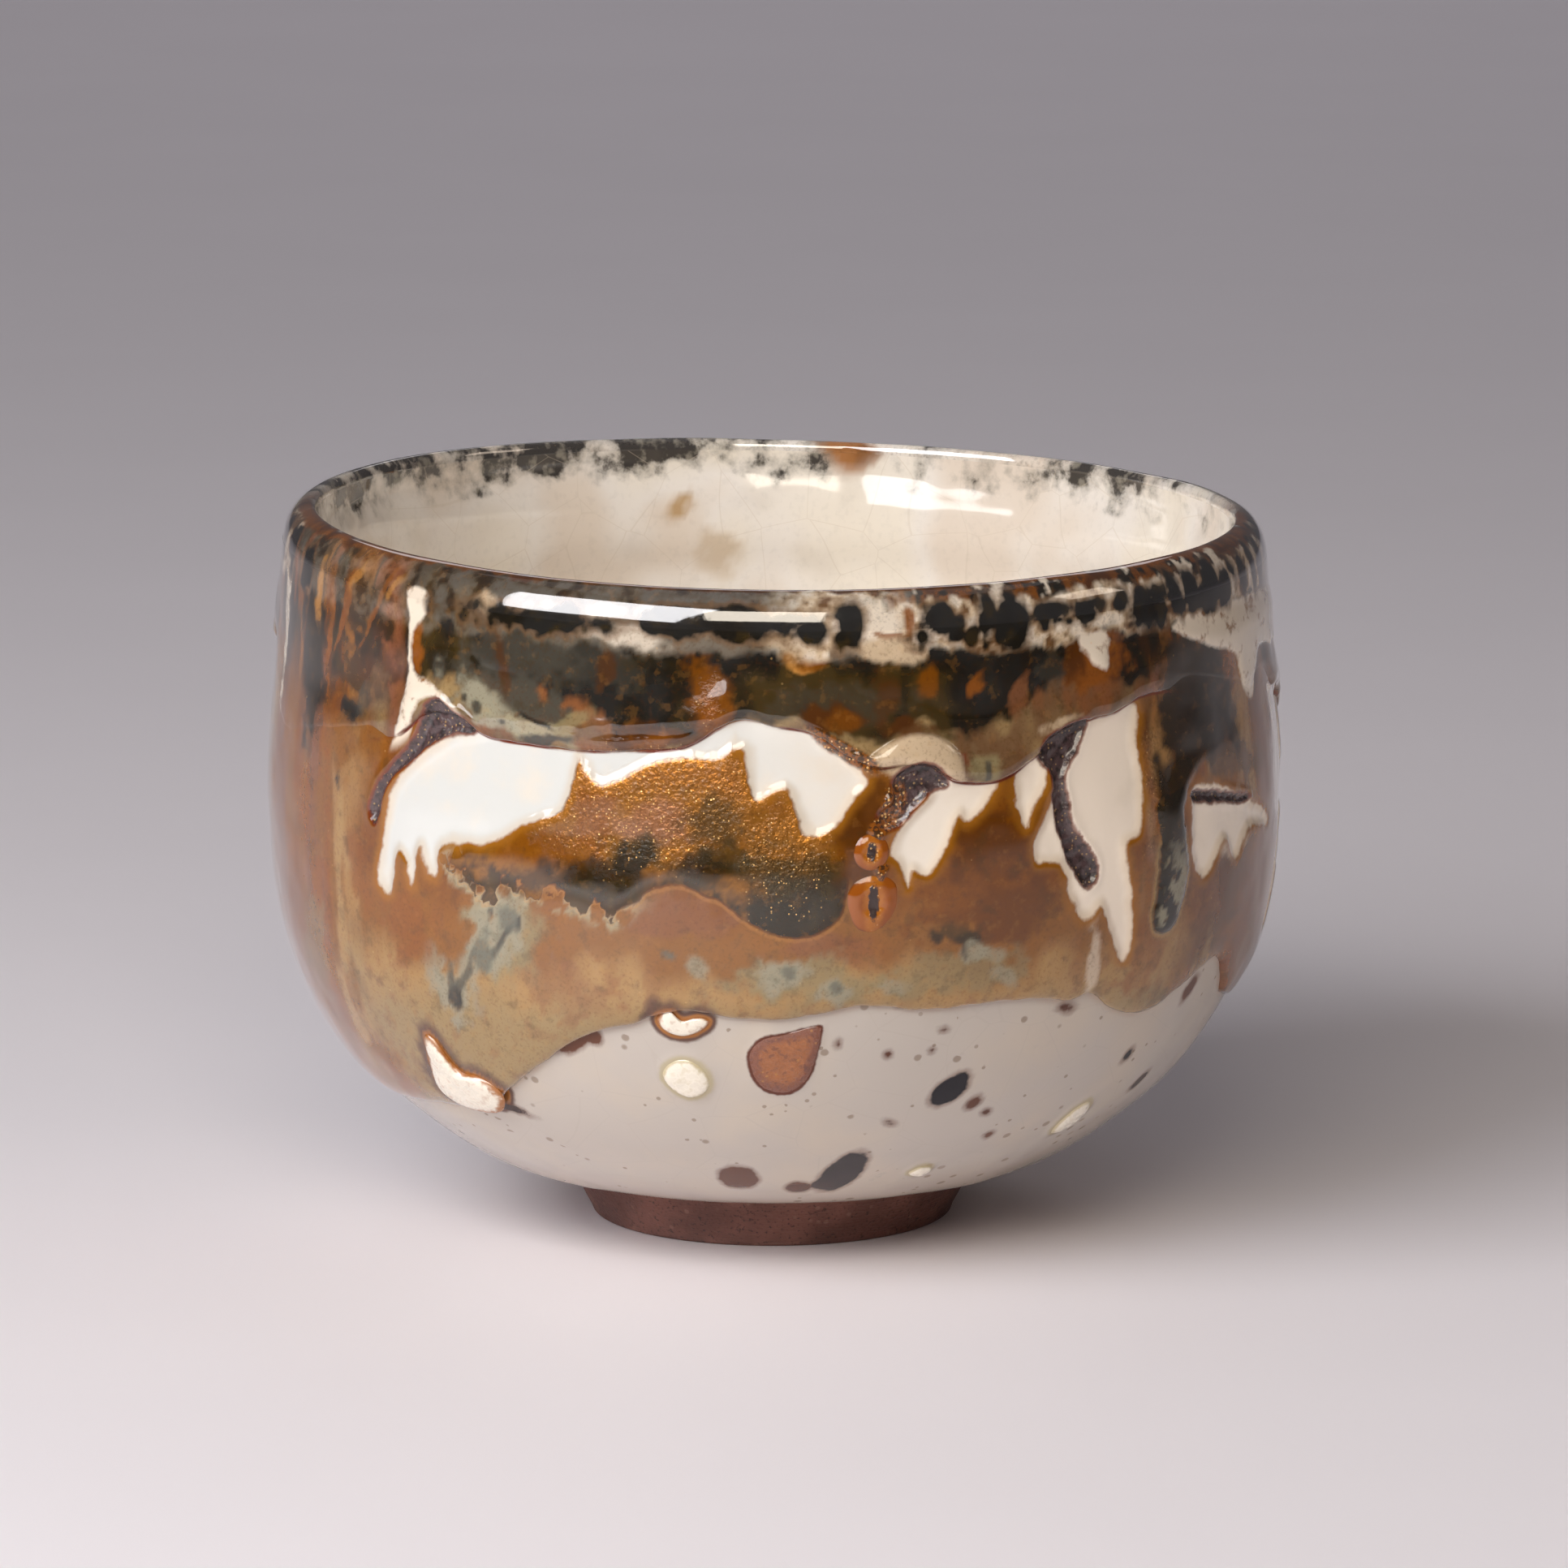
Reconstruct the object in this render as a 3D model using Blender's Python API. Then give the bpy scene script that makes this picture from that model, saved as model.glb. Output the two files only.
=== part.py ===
"""A hand-thrown matcha bowl: clay body, foot ring, glaze coats, runs, beads and stones.

Units are metres and +Z is up. The origin is the centre of the foot's flat underside.
Profiles are read as (radius, height). A turn is an angle round the bowl in degrees:
0 is the front, at -Y, and +90 is the right side, at +X.
"""

import math

import bmesh
import bpy
import numpy as np

MM = 0.001
GAP = 0.3 * MM  # clearance between two pieces that touch on the fired bowl
SEGMENTS = 48  # flats round each full ring

# The white ground glaze's outer face, from the foot to just under the lip.
GROUND_FACE = [
    (23.4 * MM, 6.3 * MM),
    (28.5 * MM, 6.9 * MM),
    (33.5 * MM, 8.2 * MM),
    (38.5 * MM, 11.0 * MM),
    (43.3 * MM, 14.6 * MM),
    (47.6 * MM, 18.4 * MM),
    (51.2 * MM, 23.0 * MM),
    (54.2 * MM, 28.3 * MM),
    (56.4 * MM, 33.5 * MM),
    (57.7 * MM, 38.5 * MM),
    (58.4 * MM, 45.0 * MM),
    (58.7 * MM, 52.0 * MM),
    (58.3 * MM, 59.0 * MM),
    (57.5 * MM, 67.0 * MM),
    (57.1 * MM, 74.0 * MM),
    (56.5 * MM, 80.4 * MM),
]
# The lining glaze's face, from the middle of the floor to just under the lip.
LINING_FACE = [
    (0.0 * MM, 12.4 * MM),
    (14.0 * MM, 12.7 * MM),
    (27.0 * MM, 14.4 * MM),
    (34.7 * MM, 17.6 * MM),
    (42.3 * MM, 23.8 * MM),
    (46.8 * MM, 29.8 * MM),
    (50.0 * MM, 36.6 * MM),
    (51.8 * MM, 44.0 * MM),
    (52.6 * MM, 52.0 * MM),
    (52.8 * MM, 60.0 * MM),
    (52.6 * MM, 70.0 * MM),
    (52.5 * MM, 80.4 * MM),
]
GROUND_THICKNESS = 0.6 * MM
LINING_THICKNESS = 0.7 * MM
COAT_THICKNESS = 0.7 * MM

LIP_RADIUS = 54.6 * MM  # from the bowl's axis to the middle of the lip
LIP_HEIGHT = 81.4 * MM  # the middle of the rounded lip
CLAY_LIP_ROUND = 1.05 * MM
LIP_GLAZE_ROUND = 2.2 * MM
LIP_GLAZE_SIDES = (-8, 188)  # degrees, from the outer end of the lip glaze to its inner end
LIP_PIECES = 6  # flats over the rounded lip

FOOT_HEIGHT = 6.9 * MM
FOOT_TOP_OUTER = 23.2 * MM
FOOT_TOP_INNER = 16.4 * MM
FOOT_REST_OUTER = 20.8 * MM
FOOT_REST_INNER = 17.6 * MM
FOOT_CHAMFER = 0.5 * MM

# How far the hand-thrown shape strays from a true turned one.
OVAL = 0.005  # share of the radius
OVAL_TURN = 35
THREE_LOBES = 0.003
THREE_LOBES_TURN = 10
LEAN = 0.4 * MM  # the mouth's shift towards the right
LIP_DROP = 0.8 * MM  # how much lower the lip is on the right than at the front
LIP_WAVE = 0.35 * MM
LIP_WAVE_TURN = 25

# Lower edges of the two poured coats: (turn, height).
BLACK_EDGE = [
    (-165, 61.0 * MM),
    (-140, 65.0 * MM),
    (-115, 59.0 * MM),
    (-95, 61.0 * MM),
    (-72, 58.5 * MM),
    (-55, 62.5 * MM),
    (-40, 66.5 * MM),
    (-22, 65.0 * MM),
    (-4, 68.0 * MM),
    (11, 62.5 * MM),
    (22, 61.0 * MM),
    (33, 64.5 * MM),
    (46, 68.0 * MM),
    (64, 67.0 * MM),
    (82, 63.0 * MM),
    (104, 66.0 * MM),
    (125, 60.0 * MM),
    (150, 64.0 * MM),
    (172, 58.0 * MM),
]
AMBER_EDGE = [
    (-172, 27.0 * MM),
    (-150, 31.0 * MM),
    (-125, 25.0 * MM),
    (-100, 28.0 * MM),
    (-80, 21.0 * MM),
    (-64, 18.8 * MM),
    (-45, 22.0 * MM),
    (-30, 26.5 * MM),
    (-14, 34.0 * MM),
    (2, 34.5 * MM),
    (14, 36.0 * MM),
    (30, 35.2 * MM),
    (46, 31.5 * MM),
    (62, 33.5 * MM),
    (80, 28.0 * MM),
    (100, 31.0 * MM),
    (120, 25.0 * MM),
    (142, 29.0 * MM),
    (162, 23.0 * MM),
]

# Runs, beads and stones: turn, height, width, length and thickness, then how far the
# long side leans from upright, in degrees, and how much narrower the lower end is.
ON_COAT = [
    ("front_run", 1.0, 52.5 * MM, 13.0 * MM, 15.0 * MM, 0.9 * MM, 0, 0.3),
    ("right_run", 53.0, 58.0 * MM, 8.0 * MM, 15.0 * MM, 0.9 * MM, 0, 0.4),
    ("slate_run", 52.0, 45.0 * MM, 4.4 * MM, 9.5 * MM, 0.8 * MM, 4, 0.3),
    ("upper_rust_bead", 11.6, 55.2 * MM, 3.6 * MM, 3.6 * MM, 0.9 * MM, 0, 0.0),
    ("lower_rust_bead", 13.4, 47.9 * MM, 4.6 * MM, 4.8 * MM, 1.1 * MM, 0, 0.0),
]
ON_GROUND = [
    ("long_stone", -41.0, 19.0 * MM, 4.0 * MM, 10.0 * MM, 1.1 * MM, -40, 0.0),
    ("heart_stone", -10.0, 31.6 * MM, 4.2 * MM, 2.6 * MM, 0.9 * MM, 0, 0.2),
    ("round_stone", -10.0, 27.2 * MM, 4.4 * MM, 3.8 * MM, 1.0 * MM, 0, 0.0),
    ("rust_stone", 2.0, 29.0 * MM, 5.4 * MM, 5.4 * MM, 1.0 * MM, 0, -0.4),
    ("right_stone", 47.0, 19.0 * MM, 3.6 * MM, 2.2 * MM, 0.9 * MM, 0, 0.0),
    ("low_stone", 24.0, 13.4 * MM, 3.2 * MM, 1.8 * MM, 0.8 * MM, 0, 0.0),
]
BLOB_SPOKES = 14
BLOB_RINGS = (0.4, 0.75, 0.93)  # shares of the outline, between its middle and its edge


class Profile:
    """A smooth (radius, height) line, read by its length, at any depth from it."""

    STEPS = 12  # short pieces between two given points

    def __init__(self, knots, outward):
        knots = np.array(knots)
        ends = [2 * knots[0] - knots[1], *knots, 2 * knots[-1] - knots[-2]]
        shares = np.linspace(0, 1, self.STEPS, endpoint=False)[:, None]
        spans = [self.span(ends[i : i + 4], shares) for i in range(len(knots) - 1)]
        self.points = np.vstack([*spans, knots[-1:]])
        steps = np.linalg.norm(np.diff(self.points, axis=0), axis=1)
        self.lengths = np.concatenate([[0], np.cumsum(steps)])
        tangents = np.gradient(self.points, self.lengths, axis=0)
        tangents /= np.linalg.norm(tangents, axis=1)[:, None]
        self.normals = outward * np.column_stack([tangents[:, 1], -tangents[:, 0]])

    @staticmethod
    def span(four, share):
        """The Catmull-Rom curve between the middle two of four points."""
        a, b, c, d = four
        bend = 2 * a - 5 * b + 4 * c - d
        twist = 3 * b - a - 3 * c + d
        return b + 0.5 * share * (c - a + share * (bend + share * twist))

    def at(self, length, out=0.0):
        """The point at this length along the line, moved out from it by this much."""
        point = [np.interp(length, self.lengths, self.points[:, k]) for k in (0, 1)]
        normal = [np.interp(length, self.lengths, self.normals[:, k]) for k in (0, 1)]
        return point[0] + out * normal[0], point[1] + out * normal[1]

    def length_at(self, height):
        return float(np.interp(height, self.points[:, 1], self.lengths))


GROUND = Profile(GROUND_FACE, outward=1)
LINING = Profile(LINING_FACE, outward=1)
CLAY_OUTER_DEPTH = GROUND_THICKNESS + GAP
CLAY_INNER_DEPTH = LINING_THICKNESS + GAP
LIP_GLAZE_INNER = CLAY_LIP_ROUND + GAP
TOP_EDGE = LIP_HEIGHT - 0.7 * MM  # where the wall's coats stop, under the lip glaze


def eased(value, low, high):
    """0 below low, 1 above high, and a smooth rise between them."""
    share = min(1.0, max(0.0, (value - low) / (high - low)))
    return share * share * (3 - 2 * share)


def placed(radius, turn, height):
    """A point of the turned shape, moved to where the potter's hands left it."""
    angle = math.radians(turn)
    wide = eased(height, 10 * MM, 55 * MM)
    high = eased(height, 30 * MM, LIP_HEIGHT)
    oval = OVAL * math.cos(2 * math.radians(turn - OVAL_TURN))
    lobes = THREE_LOBES * math.cos(3 * math.radians(turn - THREE_LOBES_TURN))
    radius *= 1 + wide * (oval + lobes)
    wave = LIP_WAVE * math.sin(2 * math.radians(turn - LIP_WAVE_TURN))
    rise = high * (radius / LIP_RADIUS) * (wave - LIP_DROP * math.sin(angle))
    x = radius * math.sin(angle) + LEAN * wide
    y = -radius * math.cos(angle)
    return x, y, height + rise


def looped_edge(knots):
    """A function of turn that runs smoothly round the bowl through (turn, height)."""
    turns = np.array([turn for turn, _ in knots], float)
    heights = np.array([height for _, height in knots])
    count = len(knots)

    def height_at(turn):
        turn = (turn - turns[0]) % 360 + turns[0]
        index = int(np.searchsorted(turns, turn, side="right")) - 1
        start = turns[index]
        end = turns[index + 1] if index + 1 < count else turns[0] + 360
        four = [heights[(index + step) % count] for step in (-1, 0, 1, 2)]
        return float(Profile.span(four, (turn - start) / (end - start)))

    return height_at


def finish(name, builder, material):
    """The object of a finished mesh, with faces pointing out and smooth shading."""
    bmesh.ops.recalc_face_normals(builder, faces=builder.faces)
    mesh = bpy.data.meshes.new(name)
    builder.to_mesh(mesh)
    builder.free()
    mesh.materials.append(material)
    mesh.shade_smooth()
    mesh.set_sharp_from_angle(angle=math.radians(50))
    made = bpy.data.objects.new(name, mesh)
    bpy.context.scene.collection.objects.link(made)
    return made


def ring_solid(name, section_at, material):
    """A closed ring. section_at(turn) is the loop of points of its cross-section."""
    builder = bmesh.new()
    rings = []
    for turn in np.arange(SEGMENTS) * 360 / SEGMENTS:
        points = [placed(radius, turn, height) for radius, height in section_at(turn)]
        rings.append([builder.verts.new(point) for point in points])
    for this, following in zip(rings, rings[1:] + rings[:1]):
        for a, b, c, d in zip(this, following, following[1:] + following[:1], this[1:] + this[:1]):
            builder.faces.new((a, b, c, d))
    return finish(name, builder, material)


def capped_solid(name, section, material):
    """A turned solid whose section starts and ends on the axis."""
    builder = bmesh.new()
    first = builder.verts.new(placed(0.0, 0, section[0][1]))
    last = builder.verts.new(placed(0.0, 0, section[-1][1]))
    rings = []
    for turn in np.arange(SEGMENTS) * 360 / SEGMENTS:
        points = [placed(radius, turn, height) for radius, height in section[1:-1]]
        rings.append([builder.verts.new(point) for point in points])
    for this, following in zip(rings, rings[1:] + rings[:1]):
        builder.faces.new((first, following[0], this[0]))
        builder.faces.new((last, this[-1], following[-1]))
        for a, b, c, d in zip(this, following, following[1:], this[1:]):
            builder.faces.new((a, b, c, d))
    return finish(name, builder, material)


def stations(profile, low, high, near):
    """Lengths from low to high: close together where the wall bends, below near."""
    bend = min(high, max(low, near))
    close = max(2, round((bend - low) / (6.5 * MM)))
    wide = max(1, round((high - bend) / (10 * MM)))
    lower = np.linspace(low, bend, close, endpoint=False)
    return [*lower, *np.linspace(bend, high, wide + 1)]


def wall_stations():
    return stations(GROUND, GROUND.lengths[0], GROUND.length_at(TOP_EDGE), GROUND.length_at(40 * MM))


def lining_stations():
    return stations(LINING, 9 * MM, LINING.length_at(TOP_EDGE), LINING.length_at(44 * MM))


def lip_arc(round_radius, start, end, pieces):
    """Points of an arc round the middle of the lip, from the outer side over the top."""
    angles = np.radians(np.linspace(start, end, pieces + 1))
    return [
        (LIP_RADIUS + round_radius * math.cos(a), LIP_HEIGHT + round_radius * math.sin(a))
        for a in angles
    ]


def make_clay_body(material):
    """The thrown wall and floor, in one piece, with a rounded lip."""
    outer = [GROUND.at(length, -CLAY_OUTER_DEPTH) for length in wall_stations()]
    inner = [LINING.at(length, CLAY_INNER_DEPTH) for length in lining_stations()]
    underside = GROUND.at(0.0, -CLAY_OUTER_DEPTH)[1]
    floor = LINING_FACE[0][1] - CLAY_INNER_DEPTH
    below = [(0.0, underside), (12 * MM, underside)]
    section = [*below, *outer, *lip_arc(CLAY_LIP_ROUND, 0, 180, LIP_PIECES), *reversed(inner), (0.0, floor)]
    return capped_solid("clay_body", section, material)


def make_foot_ring(material):
    """The turned foot: a tapered ring with a flat, unglazed underside."""
    section = [
        (FOOT_TOP_INNER, FOOT_HEIGHT),
        (FOOT_REST_INNER - FOOT_CHAMFER, FOOT_CHAMFER),
        (FOOT_REST_INNER, 0.0),
        (FOOT_REST_OUTER, 0.0),
        (FOOT_REST_OUTER + FOOT_CHAMFER, FOOT_CHAMFER),
        (FOOT_TOP_OUTER, FOOT_HEIGHT),
    ]
    return ring_solid("foot_ring", lambda turn: section, material)


def make_lining_glaze(material):
    """The cream glaze over the whole inside."""
    lengths = lining_stations()
    face = [LINING.at(length) for length in lengths]
    back = [LINING.at(length, LINING_THICKNESS) for length in lengths]
    floor = LINING_FACE[0][1]
    section = [(0.0, floor - LINING_THICKNESS), *back, *reversed(face), (0.0, floor)]
    return capped_solid("lining_glaze", section, material)


def make_ground_glaze(material):
    """The white glaze over the whole outside, from the foot to the lip."""
    start = 0.9 * MM  # leaves the foot bare
    lengths = [start, *wall_stations()[1:]]
    face = [GROUND.at(length) for length in lengths]
    back = [GROUND.at(length, -GROUND_THICKNESS) for length in reversed(lengths)]
    return ring_solid("ground_glaze", lambda turn: face + back, material)


def make_coat(name, low_at, high_at, pieces, material):
    """A poured coat over the ground glaze, between two edges that vary with the turn."""

    def section(turn):
        low = GROUND.length_at(low_at(turn))
        high = GROUND.length_at(high_at(turn))
        lengths = np.linspace(low, high, pieces + 1)
        face = [GROUND.at(length, GAP + COAT_THICKNESS) for length in lengths]
        back = [GROUND.at(length, GAP) for length in reversed(lengths)]
        return face + back

    return ring_solid(name, section, material)


def make_lip_glaze(material):
    """The thin amber roll over the lip."""
    start, end = LIP_GLAZE_SIDES
    outer = lip_arc(LIP_GLAZE_ROUND, start, end, LIP_PIECES)
    inner = lip_arc(LIP_GLAZE_INNER, start, end, LIP_PIECES)
    section = outer + inner[::-1]
    return ring_solid("lip_glaze", lambda turn: section, material)


def make_blob(name, turn, height, width, length, thickness, lean, taper, base, material):
    """A domed spot on the wall: an oval that narrows downwards, leaning by lean degrees."""
    builder = bmesh.new()
    middle = GROUND.length_at(height)
    radius = GROUND.at(middle, base)[0]
    lean = math.radians(lean)

    def on_wall(share, spoke, out):
        angle = 2 * math.pi * spoke / BLOB_SPOKES
        up = math.sin(angle)
        across = share * math.cos(angle) * width / 2 * (1 + taper * up)
        along = share * up * length / 2
        side = across * math.cos(lean) + along * math.sin(lean)
        rise = along * math.cos(lean) - across * math.sin(lean)
        spot = GROUND.at(middle + rise, out)
        return placed(spot[0], turn + math.degrees(side / radius), spot[1])

    spokes = range(BLOB_SPOKES)
    faces = [(base, -1.0), (base, 1.0)]
    edge = [builder.verts.new(on_wall(1.0, spoke, base)) for spoke in spokes]
    for bottom, side in faces:
        dome = thickness if side > 0 else 0.0
        centre = builder.verts.new(on_wall(0.0, 0, bottom + dome))
        rings = []
        for share in BLOB_RINGS:
            out = bottom + dome * math.sqrt(1 - share * share)
            rings.append([builder.verts.new(on_wall(share, spoke, out)) for spoke in spokes])
        rings.append(edge)
        for spoke in spokes:
            beside = (spoke + 1) % BLOB_SPOKES
            builder.faces.new((centre, rings[0][spoke], rings[0][beside]))
            for inner, outer in zip(rings, rings[1:]):
                builder.faces.new((inner[spoke], outer[spoke], outer[beside], inner[beside]))
    return finish(name, builder, material)


def glazed(name, colour, roughness, coat=0.6):
    """A Principled BSDF material in this colour, with a clear gloss over it."""
    material = bpy.data.materials.new(name)
    material.use_nodes = True
    shader = material.node_tree.nodes["Principled BSDF"]
    shader.inputs["Base Color"].default_value = (*colour, 1.0)
    shader.inputs["Roughness"].default_value = roughness
    shader.inputs["Metallic"].default_value = 0.0
    shader.inputs["Coat Weight"].default_value = coat
    return material


BLOB_COLOURS = {
    "front_run": (0.03, 0.03, 0.035),
    "right_run": (0.03, 0.03, 0.03),
    "slate_run": (0.11, 0.14, 0.18),
    "upper_rust_bead": (0.30, 0.08, 0.03),
    "lower_rust_bead": (0.30, 0.08, 0.03),
    "rust_stone": (0.16, 0.06, 0.04),
}
STONE_COLOUR = (0.82, 0.80, 0.74)


def make_blobs():
    coat_base = 2 * GAP + COAT_THICKNESS
    for blobs, base in ((ON_COAT, coat_base), (ON_GROUND, GAP)):
        for name, *shape in blobs:
            colour = BLOB_COLOURS.get(name, STONE_COLOUR)
            make_blob(name, *shape, base, glazed(name, colour, 0.25))


def main():
    for old in list(bpy.data.objects):
        bpy.data.objects.remove(old)
    black_edge = looped_edge(BLACK_EDGE)
    amber_edge = looped_edge(AMBER_EDGE)
    make_clay_body(glazed("clay", (0.30, 0.17, 0.12), 0.85, coat=0.0))
    make_foot_ring(glazed("foot_clay", (0.13, 0.05, 0.035), 0.8, coat=0.0))
    make_lining_glaze(glazed("lining", (0.78, 0.72, 0.60), 0.3))
    make_ground_glaze(glazed("ground", (0.74, 0.72, 0.68), 0.3))
    amber = glazed("amber", (0.42, 0.26, 0.14), 0.3)
    black = glazed("black", (0.03, 0.028, 0.025), 0.2)
    make_coat("amber_glaze", amber_edge, lambda turn: black_edge(turn) - GAP, 6, amber)
    make_coat("black_glaze", black_edge, lambda turn: TOP_EDGE, 3, black)
    make_lip_glaze(glazed("lip", (0.40, 0.20, 0.07), 0.3))
    make_blobs()


main()
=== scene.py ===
"""The looks of the matcha bowl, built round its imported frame.

Lengths in this script are millimetres, and become metres when a mesh is made.
A turn is an angle round the bowl in degrees: 0 at the front (-Y), +90 at the right (+X).
"""

import functools
import math

import bmesh
import bpy
import numpy as np
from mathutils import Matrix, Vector


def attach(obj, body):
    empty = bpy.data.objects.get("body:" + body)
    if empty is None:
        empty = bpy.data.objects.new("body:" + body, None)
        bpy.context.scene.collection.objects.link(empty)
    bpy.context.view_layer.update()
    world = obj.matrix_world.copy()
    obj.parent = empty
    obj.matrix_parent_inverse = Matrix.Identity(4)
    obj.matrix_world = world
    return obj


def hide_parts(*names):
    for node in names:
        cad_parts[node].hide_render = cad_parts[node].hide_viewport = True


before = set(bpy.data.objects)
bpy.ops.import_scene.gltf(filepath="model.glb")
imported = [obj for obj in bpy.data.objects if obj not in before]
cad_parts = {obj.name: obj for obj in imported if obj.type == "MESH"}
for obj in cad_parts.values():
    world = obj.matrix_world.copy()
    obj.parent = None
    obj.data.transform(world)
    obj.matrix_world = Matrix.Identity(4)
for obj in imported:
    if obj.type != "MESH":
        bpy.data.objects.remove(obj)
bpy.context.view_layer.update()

MM = 0.001

# ---------------------------------------------------------------- the thrown shape
# The same lines as the solid model has, as (radius, height).
GROUND_FACE = [
    (23.4, 6.3), (28.5, 6.9), (33.5, 8.2), (38.5, 11.0), (43.3, 14.6), (47.6, 18.4),
    (51.2, 23.0), (54.2, 28.3), (56.4, 33.5), (57.7, 38.5), (58.4, 45.0), (58.7, 52.0),
    (58.3, 59.0), (57.5, 67.0), (57.1, 74.0), (56.5, 80.4),
]
LINING_FACE = [
    (0.0, 12.4), (14.0, 12.7), (27.0, 14.4), (34.7, 17.6), (42.3, 23.8), (46.8, 29.8),
    (50.0, 36.6), (51.8, 44.0), (52.6, 52.0), (52.8, 60.0), (52.6, 67.0), (52.2, 72.5),
    (52.3, 75.5), (53.0, 78.0), (53.5, 80.0), (53.6, 82.3),
]
COAT = 1.0  # from the ground face to the outer face of a coat
LIP_RADIUS = 54.6
LIP_HEIGHT = 81.4
TOP_EDGE = 79.3  # where the wall meets the lip roll
# How far from round the bowl is: an oval and three lobes, as shares of the radius, a lean to
# the right, and a lip that drops to one side and waves, in millimetres.
OVAL = 0.005
OVAL_TURN = 35
THREE_LOBES = 0.003
THREE_LOBES_TURN = 10
LEAN = 0.4
LIP_DROP = 0.8
LIP_WAVE = 0.35
LIP_WAVE_TURN = 25
ARC = math.radians(59.5)  # millimetres round the widest part of the wall for one degree

COLUMNS = 1000


def eased(value, low, high):
    """0 at low, 1 at high, and a smooth rise between them."""
    share = np.clip((value - low) / (high - low), 0, 1)
    return share * share * (3 - 2 * share)


def curve_span(four, share):
    """The Catmull-Rom curve between the middle two of four points."""
    a, b, c, d = four
    bend = 2 * a - 5 * b + 4 * c - d
    twist = 3 * b - a - 3 * c + d
    return b + 0.5 * share * (c - a + share * (bend + share * twist))


class Profile:
    """A smooth (radius, height) line, read by its length, at any distance out from it."""

    STEPS = 12

    def __init__(self, knots):
        knots = np.array(knots)
        ends = [2 * knots[0] - knots[1], *knots, 2 * knots[-1] - knots[-2]]
        shares = np.linspace(0, 1, self.STEPS, endpoint=False)[:, None]
        spans = [curve_span(ends[i : i + 4], shares) for i in range(len(knots) - 1)]
        self.points = np.vstack([*spans, knots[-1:]])
        steps = np.linalg.norm(np.diff(self.points, axis=0), axis=1)
        self.lengths = np.concatenate([[0], np.cumsum(steps)])
        tangents = np.gradient(self.points, self.lengths, axis=0)
        tangents /= np.linalg.norm(tangents, axis=1)[:, None]
        self.normals = np.column_stack([tangents[:, 1], -tangents[:, 0]])

    def at(self, length, out):
        point = [np.interp(length, self.lengths, self.points[:, k]) for k in (0, 1)]
        normal = [np.interp(length, self.lengths, self.normals[:, k]) for k in (0, 1)]
        return point[0] + out * normal[0], point[1] + out * normal[1]

    def length_at(self, height):
        return np.interp(height, self.points[:, 1], self.lengths)

    def height_at(self, length):
        return np.interp(length, self.lengths, self.points[:, 1])


GROUND = Profile(GROUND_FACE)
LINING = Profile(LINING_FACE)


def placed(radius, turn, height):
    """Points of the turned shape, moved to where the potter's hands left them."""
    angle = np.radians(turn)
    wide = eased(height, 10, 55)
    high = eased(height, 30, LIP_HEIGHT)
    oval = OVAL * np.cos(2 * np.radians(turn - OVAL_TURN))
    lobes = THREE_LOBES * np.cos(3 * np.radians(turn - THREE_LOBES_TURN))
    radius = radius * (1 + wide * (oval + lobes))
    wave = LIP_WAVE * np.sin(2 * np.radians(turn - LIP_WAVE_TURN))
    rise = high * (radius / LIP_RADIUS) * (wave - LIP_DROP * np.sin(angle))
    x = radius * np.sin(angle) + LEAN * wide
    y = -radius * np.cos(angle)
    return np.stack([x, y, height + rise], axis=-1)


# ---------------------------------------------------------------- seeded noise
def lattice_value(corner, seed):
    """A repeatable random number from -1 to 1 for each whole-number corner."""
    mixed = corner[..., 0] * 374761393 + corner[..., 1] * 668265263
    mixed = mixed + corner[..., 2] * 2147483647 + seed * 1274126177
    mixed = (mixed ^ (mixed >> 13)) * 1274126177 & 0xFFFFFFFF
    mixed = (mixed ^ (mixed >> 16)) & 0xFFFF
    return mixed / 32767.5 - 1


def noise(points, size, seed=0):
    """A smooth random field from -1 to 1, with features about size across."""
    scaled = points / size
    low = np.floor(scaled).astype(np.int64)
    part = scaled - low
    part = part * part * part * (part * (part * 6 - 15) + 10)
    total = 0
    for corner in np.ndindex(2, 2, 2):
        corner = np.array(corner)
        weight = np.prod(np.where(corner, part, 1 - part), axis=-1)
        total = total + weight * lattice_value(low + corner, seed)
    return total


def layered_noise(points, size, seed=0, layers=3):
    """Noise with finer noise over it."""
    layer = [noise(points, size / 2**k, seed + 17 * k) / 2**k for k in range(layers)]
    return sum(layer) * 0.8


# ---------------------------------------------------------------- outlines on the wall
# Each outline is a closed line through (turn, height). A positive distance is inside it.
LEFT_WINDOW = [
    (-48.6, 53.5), (-47.6, 57.5), (-45.2, 60.4), (-41, 63.8), (-36, 66.5), (-28, 67),
    (-22, 67), (-22.5, 62.5), (-24, 58), (-28, 56.4), (-33, 53.4), (-39.5, 52.4),
    (-40.6, 48.6), (-42, 49.6), (-43, 51.8), (-44.3, 47), (-45.2, 50), (-46.6, 50.5),
    (-48, 45.6), (-50, 47.4), (-49.4, 50.5),
]
SLIVER_WINDOW = [
    (-22, 67), (-21.2, 63), (-19.5, 61.2), (-17.5, 62), (-13, 64.2), (-8, 64.9),
    (-5.4, 65.4), (-3.4, 69), (-12, 68.5),
]
MIDDLE_WINDOW = [
    (-5.2, 69.6), (-4.8, 66.3), (-3.2, 65.8), (-2.6, 60.9), (-1.4, 60.6), (0.2, 61.6),
    (1.6, 61), (2.6, 57.4), (3.8, 56.2), (5.4, 56.6), (7.2, 58.2), (8.6, 60.6),
    (10.2, 62.8), (6.6, 66.2), (2, 69.6),
]
CRATER_WINDOW = [
    (16.6, 60), (17.6, 62.4), (24.6, 62), (23.6, 59.4), (21.4, 57.4), (20, 57.8),
    (18.8, 55), (17.2, 52), (16, 51.8), (15, 52.3), (14.2, 50), (13.6, 52.6),
    (12.9, 54.6), (14, 57.6),
]
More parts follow.
